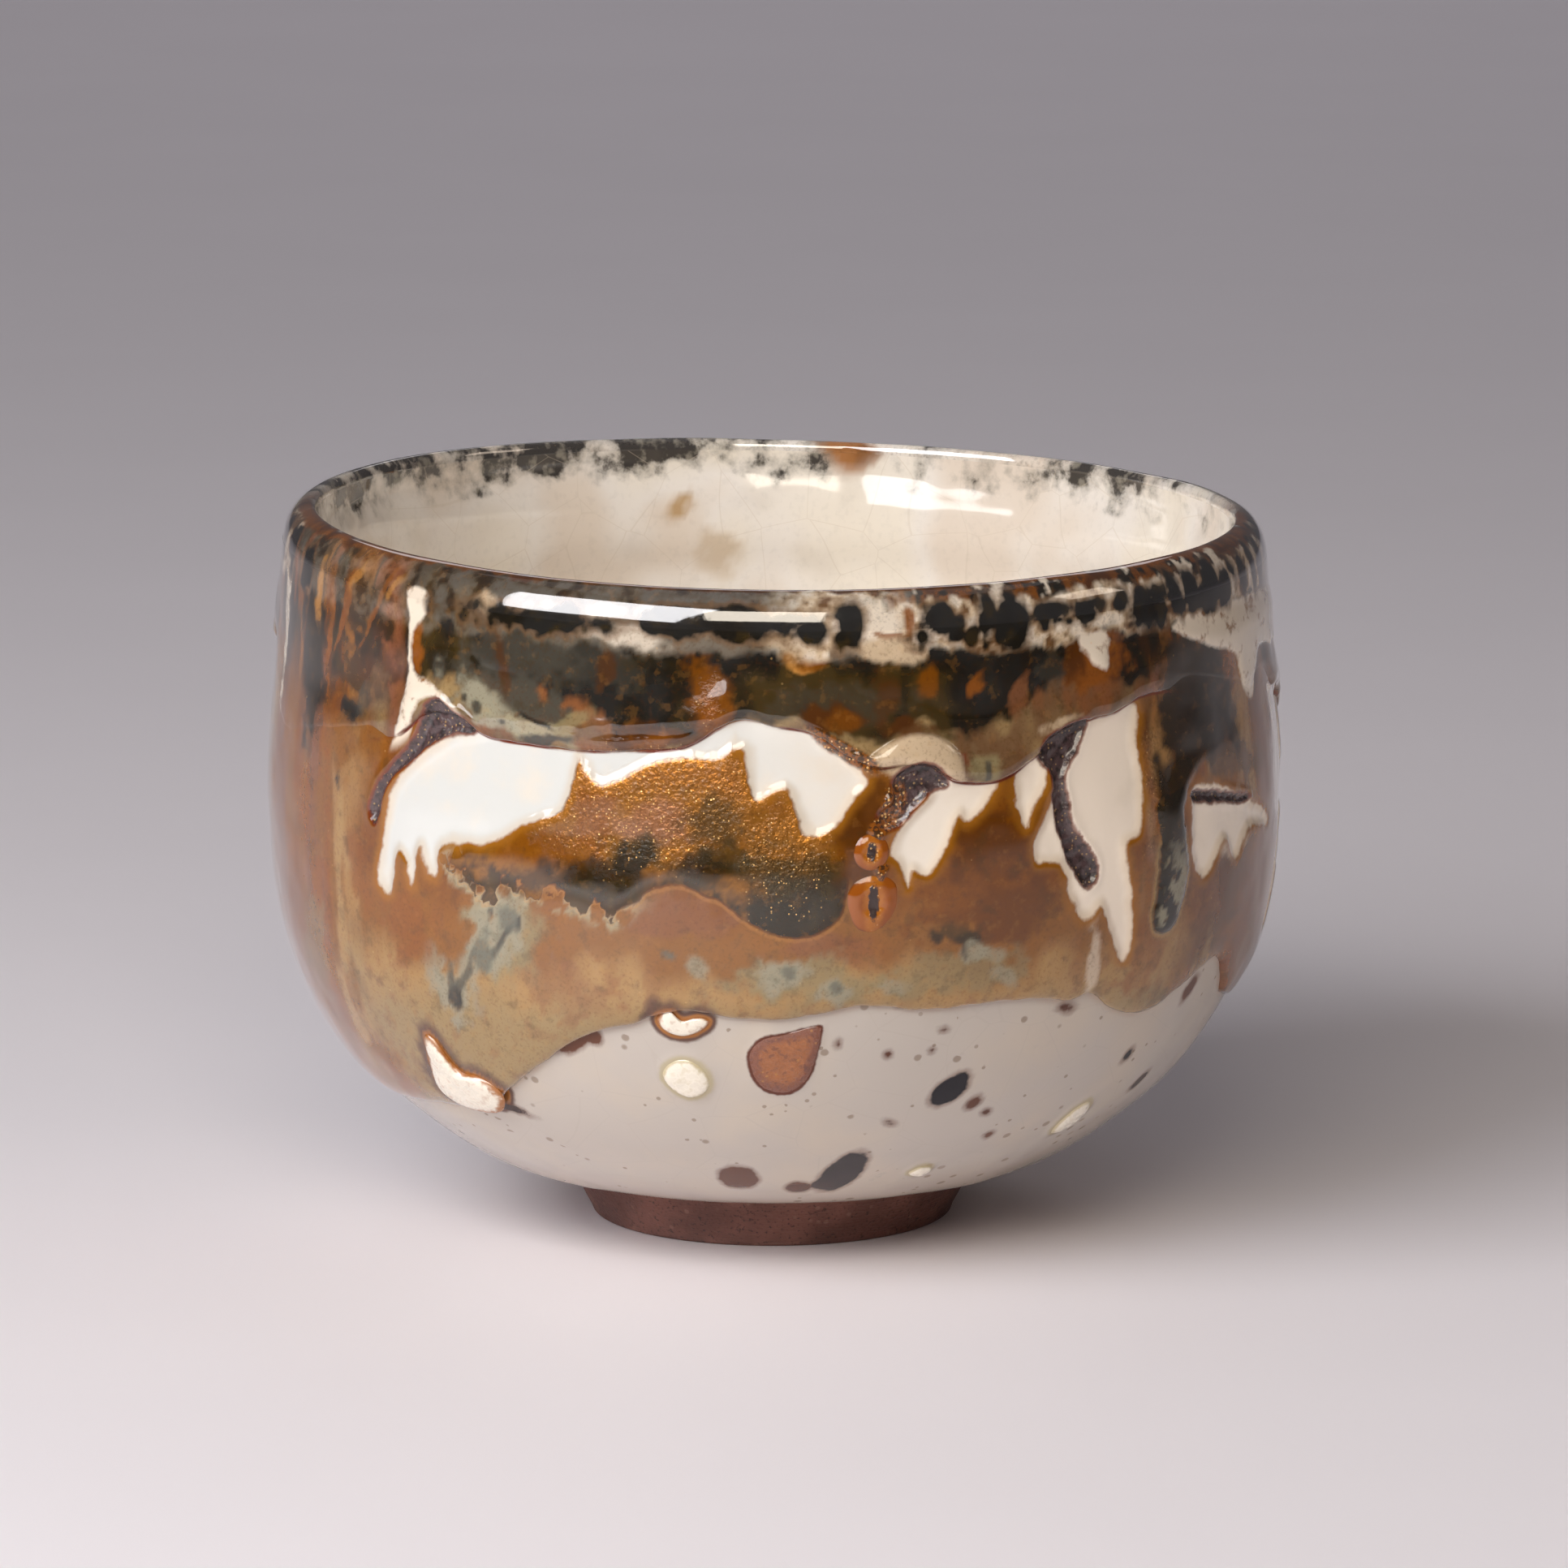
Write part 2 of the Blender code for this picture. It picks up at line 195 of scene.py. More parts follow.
WEDGE_WINDOW = [(27, 61), (28.4, 63.8), (31, 64), (30.6, 60.4), (29, 58), (27.9, 55.8)]
CRACK_WINDOW = [
    (31, 65.4), (38, 67.4), (44.4, 68.4), (43.8, 64), (44.3, 59), (43.8, 53.8), (41.6, 52.6),
    (41.7, 50.5), (42.8, 46), (43.2, 40.4), (42.3, 38.7), (40.8, 41), (39.2, 44),
    (38.2, 45.8), (36.8, 44.5), (35.2, 45), (33.6, 48), (32.4, 51.4), (29.6, 52),
    (29.2, 54.4), (31.2, 58), (32, 61.6),
]
SIDE_WINDOW = [
    (53.2, 57.4), (60, 56.2), (70, 52.4), (73, 49.6), (66, 50.2), (63, 47.6), (59.8, 50.4),
    (56, 46.4), (53.6, 49), (52.8, 53),
]
LEFT_CRACK = [
    (-42.6, 67.6), (-40.6, 68.6), (-38, 67.4), (-35.4, 65.8), (-39, 64.9), (-42.6, 63),
    (-45.4, 60.6), (-47.6, 59), (-49.2, 56.4), (-50.2, 53.2), (-51.4, 54.6),
    (-50.2, 57.6), (-47.4, 60.6), (-44.4, 64),
]
CRATER = [
    (12.8, 62), (13.8, 63.4), (15.6, 64.1), (17.6, 63.4), (19.1, 61.6), (17, 60.9),
    (15.4, 59.6), (13.6, 57.4), (11.8, 57), (11.2, 58.6), (12.6, 60.2),
]
RIGHT_CRACK = [
    (30.2, 64.6), (31, 66), (33.5, 67), (36.6, 67.4), (35.6, 64.4), (34, 62.4),
    (33.4, 60.4), (34, 57.4), (35.2, 54.9), (36.9, 52), (37.6, 50), (37.2, 48.6),
    (35.9, 48.2), (34.2, 50.6), (32.8, 54.4), (32, 57), (31.6, 59.5), (31.8, 61.4),
    (30.8, 63),
]
SIDE_CRACK = [
    (52.8, 56.8), (55.2, 56.6), (60, 55.6), (66, 54.4), (65.6, 53.8), (60, 54.7),
    (55, 55.4), (53, 55.7),
]
FRONT_TONGUE = [
    (-38.5, 50.6), (-36, 49.4), (-33.6, 48.2), (-31, 48.8), (-27, 47.8), (-22, 48.4),
    (-18, 47), (-14.5, 49.4), (-11, 50.8), (-8, 50), (-5, 48.4), (-3, 46.7), (-0.5, 45.3),
    (2.3, 44.8), (5, 45.5), (6.8, 47), (7.4, 49), (7.6, 54), (4, 57), (-4, 61), (-12, 62),
    (-20, 60), (-28, 56), (-36, 53),
]
RIGHT_RUN = [
    (51, 74), (58, 73), (63, 67), (64, 61), (60, 60.8), (55, 59.8), (52.2, 57.6),
    (51, 54.5), (51.6, 51), (52.3, 47.5), (51.2, 43.4), (49.4, 41.4), (47.3, 41.6),
    (46.4, 44), (46.8, 48), (46.9, 53), (46, 58), (46.4, 61.5), (48.6, 58), (49.6, 61),
    (49.4, 66), (50.2, 70),
]
CREAM_TRUNK = [
    (-47, 81), (-43.6, 81), (-43.4, 78), (-45.2, 75.6), (-44.8, 71.4), (-42.4, 70.6),
    (-39.4, 69), (-36.8, 66.8), (-38.6, 67.2), (-41, 68.8), (-44, 67.6), (-46, 62),
    (-48.6, 60.4), (-47.6, 64), (-46, 69), (-45.8, 73), (-46.2, 77),
]
CREAM_TONGUE = [
    (51, 76.4), (60, 77.2), (86, 76), (82, 70), (74, 70.6), (70.6, 65.4), (68, 66), (65, 71),
    (60, 72.6), (55, 74.2),
]
CREAM_DROP = [(35.8, 76.9), (40, 77.1), (40, 74.4), (39.6, 72.8), (38.2, 73.4), (36.8, 75)]
HOOD = [
    (10, 64.4), (11.4, 66), (14, 67.4), (16.6, 67.6), (19.4, 66.2), (20.6, 64),
    (20.8, 61.4), (18, 61), (12.6, 63),
]

# The bowl's far side wasn't seen: what happens at the front happens there again, moved
# round to these turns, lifted a little, and mirrored once.
FRONT, RIGHT_BACK, LEFT_BACK = (0, 0.0, 1), (122, -3.0, -1), (-134, -1.0, 1)
ALL_ROUND = (FRONT, RIGHT_BACK, LEFT_BACK)


def at_places(outlines, places):
    """Each outline with each place's move, lift and mirroring, for inside_any."""
    return [(outline, *place) for outline in outlines for place in places]


WINDOWS = at_places([LEFT_WINDOW, MIDDLE_WINDOW, CRATER_WINDOW, CRACK_WINDOW], ALL_ROUND)
WINDOWS += at_places([SLIVER_WINDOW, WEDGE_WINDOW], (FRONT, LEFT_BACK))
WINDOWS += at_places([SIDE_WINDOW], (FRONT,))
CRACKS = at_places([LEFT_CRACK], ALL_ROUND)
CRACKS += at_places([CRATER, RIGHT_CRACK], (FRONT, LEFT_BACK)) + at_places([SIDE_CRACK], (FRONT,))
RUNS = at_places([RIGHT_RUN], (FRONT, (-165, -4.0, 1)))
TONGUES = at_places([FRONT_TONGUE], ALL_ROUND)
CREAMS = at_places([CREAM_TRUNK, CREAM_DROP], ALL_ROUND) + at_places([CREAM_TONGUE], (FRONT,))
HOODS = at_places([HOOD], (FRONT, LEFT_BACK))

BLACK_EDGE_FRONT = [
    (-66, 59.5), (-55, 61.5), (-47, 63.6), (-42.5, 66.6), (-38.5, 67), (-34, 65.2),
    (-28, 64.9), (-22, 64.8), (-16, 65.2), (-10, 66), (-4, 69.2), (0, 68.6), (4, 67.8),
    (8, 65.2), (11, 63.8), (14, 64), (17, 63.6), (20, 61.8), (24, 61.4), (27, 62.2),
    (30, 64), (33, 66), (37, 67.3), (41, 67.6), (45, 69),
]
AMBER_EDGE_FRONT = [
    (-66, 18.6), (-55, 19), (-48, 19.6), (-42, 20), (-37, 22.4), (-33, 25), (-28.5, 28),
    (-24, 30.8), (-20.6, 32.6), (-16, 33.6), (-12, 35.4), (-6.6, 35.2), (0, 34.7),
    (5.2, 35.4), (10.6, 36.2), (17.3, 35.4), (23, 35.5), (29, 35.7), (35, 34.6),
    (38.5, 35), (42, 33.2), (46, 31.6),
]
# Where the black pigment itself stops, above the coat's rolled edge.
BLACK_COLOUR_FRONT = [
    (-46, 70), (-40, 71.4), (-36, 71.6), (-30, 70.8), (-25, 70.6), (-20, 68.6), (-17, 65.8),
    (-12, 66), (-6, 67.6), (-1, 69), (4, 68.8), (8, 67.2), (12, 67.4), (16, 68.4),
    (20, 66), (23, 66.6), (26, 68.6), (30, 70.4), (34, 72.4), (37, 72), (40, 70.8), (45, 70.4),
]
BLACK_EDGE_SIDES = [(52, 68.6), (66, 66), (-76, 58.5)]
AMBER_EDGE_SIDES = [
    (50.5, 31.5), (54, 33.2), (58.8, 35), (63, 35.6), (67, 33), (71, 29.5), (-78, 21),
]
BLACK_COLOUR_SIDES = [(54, 69), (66, 70), (-66, 60), (-56, 63), (-78, 66)]


EDGE_REPEATS = 49  # the front's points up to this turn are used again round the back


def turned(turn):
    """The same turn, from -180 to 180 degrees."""
    return (turn + 180) % 360 - 180


def all_round(front, sides):
    """An edge's (turn, height) points: at the front, at the sides, and again round the back."""
    repeated = [(turn, height) for turn, height in front if abs(turn) < EDGE_REPEATS]
    knots = front + sides
    for move, lift, mirror in (RIGHT_BACK, LEFT_BACK):
        knots = knots + [(turn * mirror + move, height + lift) for turn, height in repeated]
    return sorted((turned(turn), height) for turn, height in knots)


BLACK_EDGE = all_round(BLACK_EDGE_FRONT, BLACK_EDGE_SIDES)
AMBER_EDGE = all_round(AMBER_EDGE_FRONT, AMBER_EDGE_SIDES)
BLACK_COLOUR_EDGE = all_round(BLACK_COLOUR_FRONT, BLACK_COLOUR_SIDES)


def looped_edge(knots, turn):
    """The height at each turn of a smooth closed line through (turn, height)."""
    turns = np.array([knot[0] for knot in knots], float)
    heights = np.array([knot[1] for knot in knots], float)
    count = len(knots)
    turn = (turn - turns[0]) % 360 + turns[0]
    index = np.searchsorted(turns, turn, side="right") - 1
    ends = np.append(turns[1:], turns[0] + 360)
    share = (turn - turns[index]) / (ends[index] - turns[index])
    four = [heights[(index + step) % count] for step in (-1, 0, 1, 2)]
    return curve_span(four, share)


def rounded(points):
    """A closed outline with a smooth curve between its points."""
    count = len(points)
    shares = np.linspace(0, 1, 4, endpoint=False)[:, None]
    spans = [
        curve_span([points[(i + step) % count] for step in (-1, 0, 1, 2)], shares)
        for i in range(count)
    ]
    return np.vstack(spans)


FAR = 6.0  # distances further out than this are all given as this


def inside_by(turn, length, outline, move=0, lift=0, mirror=1):
    """How far inside a moved or mirrored outline each point is, negative outside it."""
    points = np.array(outline, float)
    middle = points[:, 0].mean()
    centre = middle * mirror + move
    across = (points[:, 0] - middle) * mirror * ARC
    along = GROUND.length_at(points[:, 1] + lift)
    line = rounded(np.column_stack([across, along]))
    u = turned(turn - centre) * ARC
    low, high = line.min(axis=0) - FAR, line.max(axis=0) + FAR
    near = (u > low[0]) & (u < high[0]) & (length > low[1]) & (length < high[1])
    result = np.full(turn.shape, -FAR)
    x, y = u[near], length[near]
    nearest = np.full(x.shape, FAR * FAR)
    within = np.zeros(x.shape, bool)
    for a, b in zip(line, np.roll(line, -1, axis=0)):
        step = b - a
        share = ((x - a[0]) * step[0] + (y - a[1]) * step[1]) / (step @ step)
        share = np.clip(share, 0, 1)
        apart = (x - a[0] - share * step[0]) ** 2 + (y - a[1] - share * step[1]) ** 2
        nearest = np.minimum(nearest, apart)
        if a[1] != b[1]:
            crosses = (a[1] > y) != (b[1] > y)
            within ^= crosses & (x < step[0] * (y - a[1]) / step[1] + a[0])
    result[near] = np.where(within, 1, -1) * np.sqrt(nearest)
    return result


def inside_any(turn, length, placed_outlines):
    """How far inside the nearest of some placed outlines each point is."""
    distances = [inside_by(turn, length, *one) for one in placed_outlines]
    return np.max(distances, axis=0)


def rolled(distance, width):
    """A rounded rise from 0 at an edge to 1 at this width inside it."""
    share = np.clip(distance / width, 0, 1)
    return np.sqrt(1 - (1 - share) ** 2)


def inside_spots(turn, length, spots):
    """How far inside the nearest of some ovals each point is. Each is (turn, height, half
    width, half length, lean in degrees)."""
    inside = np.full(turn.shape, -FAR)
    for spot_turn, height, half_width, half_length, lean in spots:
        across = turned(turn - spot_turn) * ARC
        up = length - GROUND.length_at(height)
        reach = leaning_reach(across, up, half_width, half_length, lean)
        inside = np.maximum(inside, (1 - reach) * min(half_width, half_length))
    return inside


def leaning_reach(across, up, half_width, half_length, lean):
    """0 in the middle of a leaning oval, 1 on its edge, more outside it."""
    lean = math.radians(lean)
    side = across * math.cos(lean) - up * math.sin(lean)
    along = up * math.cos(lean) + across * math.sin(lean)
    return np.sqrt((side / half_width) ** 2 + (along / half_length) ** 2)


# ---------------------------------------------------------------- colours
def srgb(red, green, blue):
    """A colour given as it looks on a screen, from 0 to 255, in the shader's own scale."""
    shares = np.array([red, green, blue]) / 255
    linear = np.where(shares > 0.04045, ((shares + 0.055) / 1.055) ** 2.4, shares / 12.92)
    return (*linear.tolist(), 1.0)


TAN = srgb(166, 128, 78)
GREY_TAN = srgb(154, 128, 86)
PINK_TAN = srgb(132, 84, 30)
PINK_BROWN = srgb(128, 80, 46)
ROSE = srgb(126, 74, 44)
ORANGE = srgb(136, 76, 18)
AMBER = srgb(122, 68, 4)
AMBER_TAN = srgb(138, 86, 26)
DEEP_AMBER = srgb(80, 42, 6)
PALE_AMBER = srgb(190, 132, 62)
HONEY = srgb(158, 100, 20)
COPPER = srgb(130, 82, 18)
OLIVE = srgb(60, 46, 16)
OLIVE_BLACK = srgb(34, 27, 12)
BLACK = srgb(25, 21, 13)
SLATE = srgb(72, 68, 58)
SLATE_BLACK = srgb(34, 33, 30)
BLUE_GREY = srgb(148, 142, 120)
TEAL = srgb(92, 92, 80)
PALE_GLASS = srgb(160, 150, 120)
GREY_GREEN = srgb(138, 124, 88)
MAUVE = srgb(136, 94, 84)
PINK_METAL = srgb(134, 92, 78)
# Window whites. The right one is painted brighter and warmer: painted light where less light
# falls.
WINDOW = srgb(214, 215, 211)
RIGHT_WINDOW_PAINTED_LIGHT = srgb(254, 240, 222)
CREAM = srgb(206, 182, 150)
PALE_CREAM = srgb(232, 218, 198)
FRINGE = srgb(108, 78, 50)
HAZE = srgb(120, 110, 96)
CRACK = srgb(78, 58, 58)
DEEP_CRACK = srgb(44, 32, 32)
GRIT_DARK = srgb(70, 44, 22)
RED_BROWN = srgb(112, 46, 24)
GOLD = srgb(232, 186, 118)

# Strokes of colour: colour, strength, turn, height, half width and half length in
# millimetres, and lean in degrees. These are on the lower part of the amber coat.
BELLY_STROKES = [
    (DEEP_AMBER, 0.8, 8, 54, 3.0, 6.5, -6),
    (DEEP_AMBER, 0.8, 10.5, 59.5, 2.2, 3.2, 30),
    (AMBER, 0.9, 22, 52, 9, 7, 0),
    (DEEP_AMBER, 0.7, 24, 54, 6, 5, 0),
    (AMBER, 0.6, 26, 48, 6, 4, 0),
    (DEEP_AMBER, 0.45, 27, 47, 7, 3.4, 0),
    (PINK_TAN, 0.7, -14, 45, 9, 3.4, 0),
    (ROSE, 0.6, -11, 46.5, 6, 2.0, 0),
    (ROSE, 0.6, 5, 43.2, 5, 1.6, 0),
    (PINK_BROWN, 0.4, -24, 38, 7, 3.0, 20),
    (ORANGE, 0.4, 10, 43, 3, 2, 0),
    (GREY_GREEN, 0.7, 3, 39.6, 9, 2.4, 0),
    (GREY_GREEN, 0.6, 20, 39.6, 9, 2.6, 0),
    (BLUE_GREY, 0.9, 0.8, 40.4, 2.8, 1.9, 0),
    (BLUE_GREY, 0.9, 6.3, 38.4, 1.6, 1.4, 30),
    (BLUE_GREY, 0.6, 13, 39, 1.6, 1.0, 0),
    (BLUE_GREY, 0.6, 26, 38.6, 1.8, 1.0, 30),
    (BLUE_GREY, 0.6, 24.5, 41.4, 1.4, 1.2, 0),
    (BLUE_GREY, 0.7, -8.4, 41.6, 1.0, 1.4, -30),
    (TEAL, 0.8, 1.2, 40.6, 1.1, 0.7, 30),
    (TEAL, 0.8, 6.4, 38.8, 0.7, 0.9, 30),
    (TEAL, 0.8, -11.4, 42.6, 0.8, 0.6, 0),
    (OLIVE_BLACK, 0.9, 17.9, 44.6, 0.9, 1.1, 0),
    (OLIVE_BLACK, 0.9, 21.3, 44.2, 1.3, 1.3, 0),
    (OLIVE, 0.7, 19.6, 45.4, 2.6, 1.2, 0),
    (BLUE_GREY, 0.8, 21.4, 42, 1.5, 1.4, 0),
    (SLATE_BLACK, 0.7, 20.9, 42.2, 0.4, 1.2, 0),
    (GREY_GREEN, 0.8, -31, 43.4, 5.0, 6.0, 26),
    (BLUE_GREY, 0.85, -32.4, 43.4, 3.2, 5.6, 30),
    (BLUE_GREY, 0.85, -39, 35.2, 3.4, 3.0, 20),
    (BLUE_GREY, 0.5, -42, 38, 2, 3, 0),
    (BLUE_GREY, 0.8, -36, 39.5, 2.0, 5.0, 34),
    (SLATE, 0.8, -37, 37.5, 0.6, 3.4, 24),
    (SLATE_BLACK, 0.8, -31.5, 42.5, 0.5, 2.2, 34),
    (SLATE_BLACK, 0.7, -33.4, 45.4, 0.4, 1.2, 20),
    (TEAL, 0.8, -34.2, 40.4, 1.3, 3.0, 16),
    (TEAL, 0.8, -30.8, 45, 1.6, 1.6, 30),
    (SLATE_BLACK, 0.9, -38.6, 34.4, 1.0, 1.3, 30),
    (SLATE, 0.8, -39, 36.8, 0.8, 2.2, -8),
    (SLATE_BLACK, 0.8, -29.6, 44.4, 0.4, 0.9, 0),
    (ORANGE, 0.7, -46, 43, 4, 4, 0),
    (ORANGE, 0.5, 46, 39, 3, 5, 0),
    (OLIVE, 0.4, 41, 48.5, 1.0, 4.4, 16),
    (PALE_CREAM, 0.5, 37.5, 39, 0.9, 5, 0),
    (PINK_METAL, 0.9, 45.6, 58, 1.3, 7, 6),
]
# On the raised tongue of thicker glaze in the middle of the front.
TONGUE_STROKES = [
    (COPPER, 1.0, -14, 58.5, 15, 7.5, -8),
    (COPPER, 0.9, 2, 53, 6, 7, 0),
    (MAUVE, 0.35, -13, 57, 5, 3, 0),
    (AMBER, 0.8, -28, 53.5, 7, 2.6, 18),
    (AMBER, 0.9, -8, 65, 6, 1.4, 4),
    (AMBER, 0.8, -20, 57, 2.2, 5, 10),
    (OLIVE, 0.7, -7, 57.5, 2.6, 2.4, 0),
    (OLIVE, 0.8, -15, 53.8, 3.4, 2.0, 0),
    (OLIVE_BLACK, 0.9, -14.5, 53.5, 2.2, 1.5, 0),
    (OLIVE, 0.8, -5, 54, 3.0, 2.2, 0),
    (OLIVE_BLACK, 0.9, -19, 50.6, 6.5, 1.8, 0),
    (OLIVE_BLACK, 0.7, -27, 50, 4, 1.4, 6),
    (OLIVE_BLACK, 0.85, -7.5, 52, 4, 1.8, -12),
    (OLIVE_BLACK, 1.0, 1.5, 47.8, 6.6, 3.0, 0),
    (OLIVE, 0.8, 0.5, 52, 6.0, 3.0, 0),
    (OLIVE_BLACK, 0.9, 2.0, 46.2, 5.0, 1.8, 0),
    (SLATE_BLACK, 0.8, -31.2, 45.2, 0.5, 1.0, 30),
]
# On the black coat.
HIGH_STROKES = [
    (SLATE, 0.6, -30, 76, 7.5, 3.6, 6),
    (SLATE, 0.9, -32, 70.4, 8.5, 3.0, 8),
    (SLATE, 0.4, -22, 75, 7, 3.6, 0),
    (SLATE, 0.35, 6, 71, 9, 2.4, 0),
    (SLATE, 0.4, 32, 73, 2, 2, 0),
    (AMBER, 0.8, -6.8, 71.6, 2.7, 4.6, -6),
    (ORANGE, 0.5, -7, 69.2, 1.8, 2.2, 0),
    (DEEP_AMBER, 0.6, -19.8, 73.6, 1.0, 2.4, 6),
    (DEEP_AMBER, 0.6, -31.6, 74, 0.7, 3.4, -12),
    (DEEP_AMBER, 0.9, -12.6, 66.6, 6.0, 1.4, 4),
    (AMBER, 0.8, -13.2, 66.4, 2.0, 1.0, 0),
    (PALE_AMBER, 0.95, 2.8, 75.9, 1.5, 0.8, 24),
    (AMBER, 0.9, 4.2, 76.3, 1.6, 1.2, 0),
    (DEEP_AMBER, 0.95, 5.6, 69.4, 3.6, 1.4, 0),
    (AMBER, 0.6, 7, 69.2, 1.6, 1.2, 0),
    (AMBER, 0.85, 16.6, 73.6, 1.3, 2.2, 0),
    (ORANGE, 0.9, 22.6, 72.9, 2.2, 0.8, -48),
    (DEEP_AMBER, 0.8, 14.4, 67.8, 3.4, 1.0, 8),
    (DEEP_AMBER, 0.6, 12, 72, 1.6, 2.8, 0),
    (PINK_BROWN, 0.8, 28.2, 71.4, 0.9, 2.2, 6),
    (ORANGE, 0.95, 37.8, 74.4, 3.9, 3.4, 0),
    (DEEP_AMBER, 0.9, 34.6, 74.8, 1.4, 2.4, 0),
    (PINK_METAL, 0.8, 47, 68.6, 2.0, 3.4, 10),
    (FRINGE, 0.9, 24.4, 64.6, 3.6, 2.6, 0),
    (GREY_GREEN, 0.9, 22.8, 63.8, 2.0, 1.8, 0),
    (SLATE, 0.9, 22.9, 63.6, 0.45, 1.2, 10),
    (RED_BROWN, 0.7, 20.9, 64.6, 0.4, 0.9, -20),
    (CREAM, 0.7, 32.6, 67.6, 2.2, 0.6, -12),
    (ORANGE, 0.95, -44.4, 73.6, 1.0, 2.6, 4),
    (BLUE_GREY, 0.95, -34, 69.2, 5.4, 2.0, 20),
    (PALE_GLASS, 0.85, -28.4, 67.2, 5.0, 1.3, 14),
    (BLUE_GREY, 0.8, -32, 67.2, 3.0, 0.9, 0),
    (SLATE_BLACK, 0.8, -37.4, 70.0, 0.7, 0.5, 0),
    (SLATE, 0.8, -27.5, 70.0, 3.6, 1.4, 12),
    (SLATE_BLACK, 0.9, -26, 66.0, 3.0, 0.6, 0),
    (SLATE_BLACK, 0.9, -27, 68.2, 2.0, 0.4, 28),
    (SLATE_BLACK, 0.8, -35.4, 68.8, 0.9, 0.8, 20),
    (SLATE_BLACK, 0.8, -31.4, 67.4, 0.7, 0.7, 0),
    (GREY_GREEN, 0.7, -23, 67.6, 2.4, 0.9, -30),
]
# On the bowl's two sides, where the colours run together from the lip to the belly.
SIDE_STROKES = [
    (OLIVE_BLACK, 0.8, -54, 70, 5, 3.4, 20),
    (OLIVE_BLACK, 0.6, -57, 78, 6, 4.0, 20),
    (DEEP_AMBER, 0.7, -52, 71, 4, 3, 0),
    (DEEP_AMBER, 0.75, 60, 46, 9, 8, 0),
    (PINK_BROWN, 0.8, 52.4, 72, 1.4, 2.6, 30),
    (ORANGE, 0.8, -62, 72.6, 0.7, 8, 3),
    (OLIVE_BLACK, 1.0, -66, 72, 3.2, 11.5, 0),
    (PALE_AMBER, 0.8, -65.4, 77.6, 0.9, 3.2, 6),
    (OLIVE_BLACK, 0.8, -53.4, 75.6, 3.6, 5.0, 20),
    (SLATE_BLACK, 1.0, -56.6, 64.6, 2.6, 2.0, 0),
    (SLATE, 0.7, -53.6, 66, 1.4, 1.8, 20),
    (PINK_TAN, 0.8, -56, 60.5, 4.6, 3.0, 0),
    (ORANGE, 0.6, -59, 66, 1.2, 3.0, 0),
    (ORANGE, 0.7, -52.0, 78, 0.35, 5.4, 34),
    (PALE_AMBER, 0.6, -48.8, 80.6, 0.4, 2.2, 40),
    (ORANGE, 0.8, -58.2, 77, 0.5, 5.6, 22),
    (PALE_AMBER, 0.6, -56.4, 80.6, 0.35, 2.0, 30),
    (ORANGE, 0.6, -62.6, 78, 0.4, 4.2, 12),
    (FRINGE, 0.9, -51, 66.4, 2.0, 4.0, 12),
    (PALE_CREAM, 0.9, -78, 72, 1.1, 9, 0),
    (ORANGE, 0.7, 62, 69, 2.6, 3.4, 0),
    (OLIVE_BLACK, 1.0, 57, 67, 4.4, 6.2, 16),
    (DEEP_AMBER, 0.9, 56, 62.6, 1.5, 1.6, 0),
    (OLIVE_BLACK, 0.9, 76, 70, 1.0, 3.0, 0),
    (PINK_METAL, 0.7, 52.5, 66, 2.4, 5.0, 10),
    (OLIVE_BLACK, 1.0, 59, 64, 3.4, 6.0, 16),
    (FRINGE, 0.9, 60, 60.2, 9, 1.4, 6),
    (FRINGE, 0.9, 64, 58.6, 8, 2.0, 6),
    (GREY_GREEN, 0.4, -55, 37, 3, 5, 10),
    (GREY_GREEN, 0.4, -66, 38, 3, 6, 10),
    (ORANGE, 0.8, -52.5, 49, 3.0, 4.4, 6),
    (TAN, 0.6, -54, 56, 3.6, 4.0, 0),
    (PINK_TAN, 0.7, -62, 52, 2.2, 5, 10),
    (SLATE_BLACK, 0.8, -57.6, 56.4, 0.6, 0.9, 0),
    (ORANGE, 0.9, -49.9, 52.6, 0.8, 2.0, -6),
    (PINK_BROWN, 0.6, 56, 42, 5, 5, 0),
    (OLIVE, 0.35, 56, 38.5, 7, 3.0, 0),
    (OLIVE, 0.6, 50, 33, 5, 1.3, 20),
    (PALE_CREAM, 0.8, 60, 52, 6, 3, 8),
]
# The band under the lip, and the lip itself: turn, height, half width, half length, lean.
RIM_SPOTS = [
    (8.4, 80.4, 1.9, 3.1, 0), (16.4, 78.2, 1.2, 1.0, 0), (18.4, 81.2, 2.1, 2.2, 0),
    (20.4, 79.2, 1.2, 1.7, 0), (22.3, 78.4, 0.7, 1.0, 0), (24.2, 80.8, 0.9, 2.2, 6),
    (27.8, 79.4, 1.9, 3.0, 0), (32.4, 82.4, 2.6, 0.7, 0), (31.4, 79.3, 0.4, 0.5, 0),
    (32.6, 80.2, 0.5, 0.4, 0), (33.4, 79, 0.4, 0.3, 0), (34.4, 80.4, 0.4, 0.3, 0),
    (34.8, 78.7, 0.5, 0.3, 0), (37.6, 79.2, 1.8, 1.3, 0), (38.2, 81.6, 2.8, 0.9, 0),
    (42.6, 80.8, 1.3, 1.6, 0), (46.8, 78.6, 3.4, 2.2, 0), (47.5, 81.4, 3.0, 1.1, 0),
    (51.6, 80.4, 1.0, 2.2, -16), (55, 80, 1.2, 1.9, -16), (58.4, 78.6, 2.0, 1.4, 0),
    (60.2, 81, 1.4, 2.2, -16), (63.6, 79, 1.7, 1.9, 0), (66, 81.4, 1.0, 2.2, -12),
    (69.6, 79.6, 1.4, 2.6, -10), (73.4, 80.6, 1.0, 2.8, -8), (78, 79.8, 1.8, 3.0, 0),
    (84, 80.6, 2.0, 2.6, 0), (90, 79.4, 1.6, 2.4, 0), (95, 81, 1.6, 2.2, 0),
]
